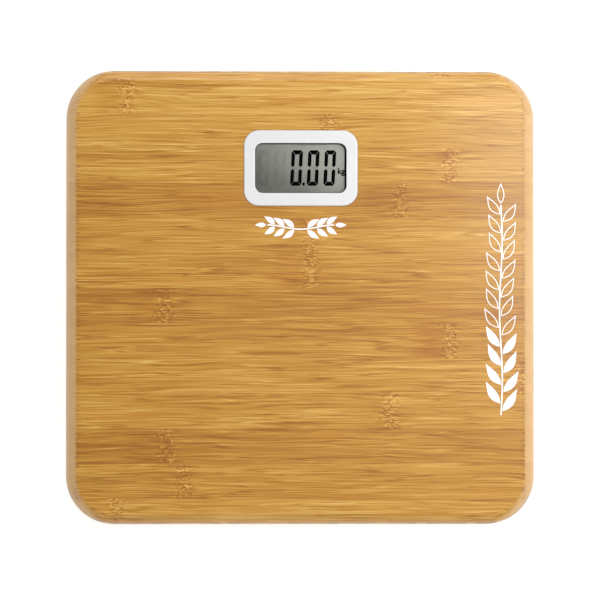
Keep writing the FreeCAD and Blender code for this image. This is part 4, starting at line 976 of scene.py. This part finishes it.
def short_twig(x, y):
    """A twig across the board, the same to both sides of its middle."""

    def point(u):
        return (x + u * SHORT_REACH, y - SHORT_SAG * math.cos(u * math.pi))

    length, width = SHORT_LEAF
    shapes = [stem([point(n / SHORT_STEPS) for n in range(-SHORT_STEPS, SHORT_STEPS + 1)], STEM_WIDTH)]
    for side in (1, -1):
        outwards = 0 if side > 0 else math.pi
        for n in range(SHORT_PAIRS):
            root_x, root_y = point(side * (SHORT_FIRST + SHORT_PITCH * n))
            size = (length - n * SHORT_SHORTER, width)
            for up in (1, -1):
                angle = outwards + side * up * SHORT_ANGLE
                root = (root_x, root_y + up * LEAF_GAP)
                shapes.append(leaf(root, angle, size, bow=LEAF_BOW * side * up))
        tip_x, tip_y = point(side)
        shapes.append(leaf((tip_x + side * LEAF_GAP, tip_y), outwards, SHORT_TIP))
    return shapes


# ---- stage ----------------------------------------------------------------------------------------------

# The camera: how far away it is, how far it leans to the left and to the heel side, the width that it sees,
# and the point that it looks at.
CAMERA_DISTANCE = 3.0
CAMERA_LEFT = math.radians(2.0)
CAMERA_BACK = math.radians(1.5)
FIELD = 0.3973
AIM = (-0.2 * MM, -0.1 * MM, 16 * MM)
SENSOR_MM = 36

FLOOR_REACH = 3.0
FLOOR_DROP = 0.02 * MM
FLOOR_GREY = 0.55
FLOOR_GLOW = 0.72

# The room's grey at each height, from the horizon at 0 to straight overhead at 1.
ROOM_SHADES = ((0.05, 0.92), (0.40, 0.66), (0.90, 0.50), (0.965, 0.42), (0.985, 0.01))
ROOM_STRENGTH = 1.14

# Each soft box: its name, place, width and height in metres, and its power in watts.
SOFT_BOXES = (
    ("key_box", (0.52, 0.12, 0.64), (0.4, 0.4), 3.6),
    ("high_box", (0.36, 0.12, 1.2), (0.3, 0.3), 2.6),
    ("toe_box", (0.1, 1.9, 1.0), (1.6, 0.8), 11),
)


def add_floor():
    """A white floor, open from below so that the underside can be looked at."""
    mesh = bpy.data.meshes.new("floor")
    corners = [(x * FLOOR_REACH, y * FLOOR_REACH, 0) for x, y in ((-1, -1), (1, -1), (1, 1), (-1, 1))]
    mesh.from_pydata(corners, [], [(0, 1, 2, 3)])
    s = Shader("floor", base_color=(FLOOR_GREY,) * 3, roughness=0.9, specular_ior_level=0.1)
    s.set(emission_color=(1, 1, 1), emission_strength=FLOOR_GLOW)
    seen_from_below = s.node("NewGeometry").outputs["Backfacing"]
    s.set(alpha=s.math("SUBTRACT", 1, seen_from_below))
    mesh.materials.append(s.material)
    floor = bpy.data.objects.new("floor", mesh)
    floor.location.z = -FLOOR_DROP
    bpy.context.scene.collection.objects.link(floor)


def add_light(name, location, size, power):
    """A soft box that shines at the middle of the floor."""
    data = bpy.data.lights.new(name, "AREA")
    data.shape = "RECTANGLE"
    data.size, data.size_y = size
    data.energy = power
    light = bpy.data.objects.new(name, data)
    light.location = location
    light.rotation_euler = (-Vector(location)).to_track_quat("-Z", "Y").to_euler()
    bpy.context.scene.collection.objects.link(light)


def add_light_room():
    """A pale room with a dark patch straight overhead, and three soft boxes."""
    world = bpy.data.worlds.new("studio")
    world.use_nodes = True
    tree = world.node_tree
    background = tree.nodes["Background"]
    direction = tree.nodes.new("ShaderNodeTexCoord")
    height = tree.nodes.new("ShaderNodeSeparateXYZ")
    ramp = tree.nodes.new("ShaderNodeValToRGB")
    fill_ramp(ramp.color_ramp, [(position, (shade,) * 3) for position, shade in ROOM_SHADES])
    tree.links.new(direction.outputs["Generated"], height.inputs[0])
    tree.links.new(height.outputs["Z"], ramp.inputs[0])
    tree.links.new(ramp.outputs["Color"], background.inputs["Color"])
    background.inputs["Strength"].default_value = ROOM_STRENGTH
    bpy.context.scene.world = world
    for soft_box in SOFT_BOXES:
        add_light(*soft_box)


def add_camera():
    """The photo's view: almost straight down, with the toe side at the top."""
    data = bpy.data.cameras.new("camera")
    data.sensor_width = SENSOR_MM
    data.lens = SENSOR_MM * CAMERA_DISTANCE / FIELD
    camera = bpy.data.objects.new("camera", data)
    back = Vector((-math.tan(CAMERA_LEFT), -math.tan(CAMERA_BACK), 1)).normalized()
    right = Vector((0, 1, 0)).cross(back).normalized()
    up = back.cross(right)
    camera.rotation_euler = Matrix((right, up, back)).transposed().to_euler()
    camera.location = Vector(AIM) + back * CAMERA_DISTANCE
    bpy.context.scene.collection.objects.link(camera)
    bpy.context.scene.camera = camera


def add_stage():
    """The floor, the light and the camera, with colours shown as they are."""
    scene = bpy.context.scene
    scene.view_settings.view_transform = "Standard"
    scene.view_settings.look = "None"
    add_floor()
    add_light_room()
    add_camera()


dress_frame()
picture()
twigs()
add_stage()
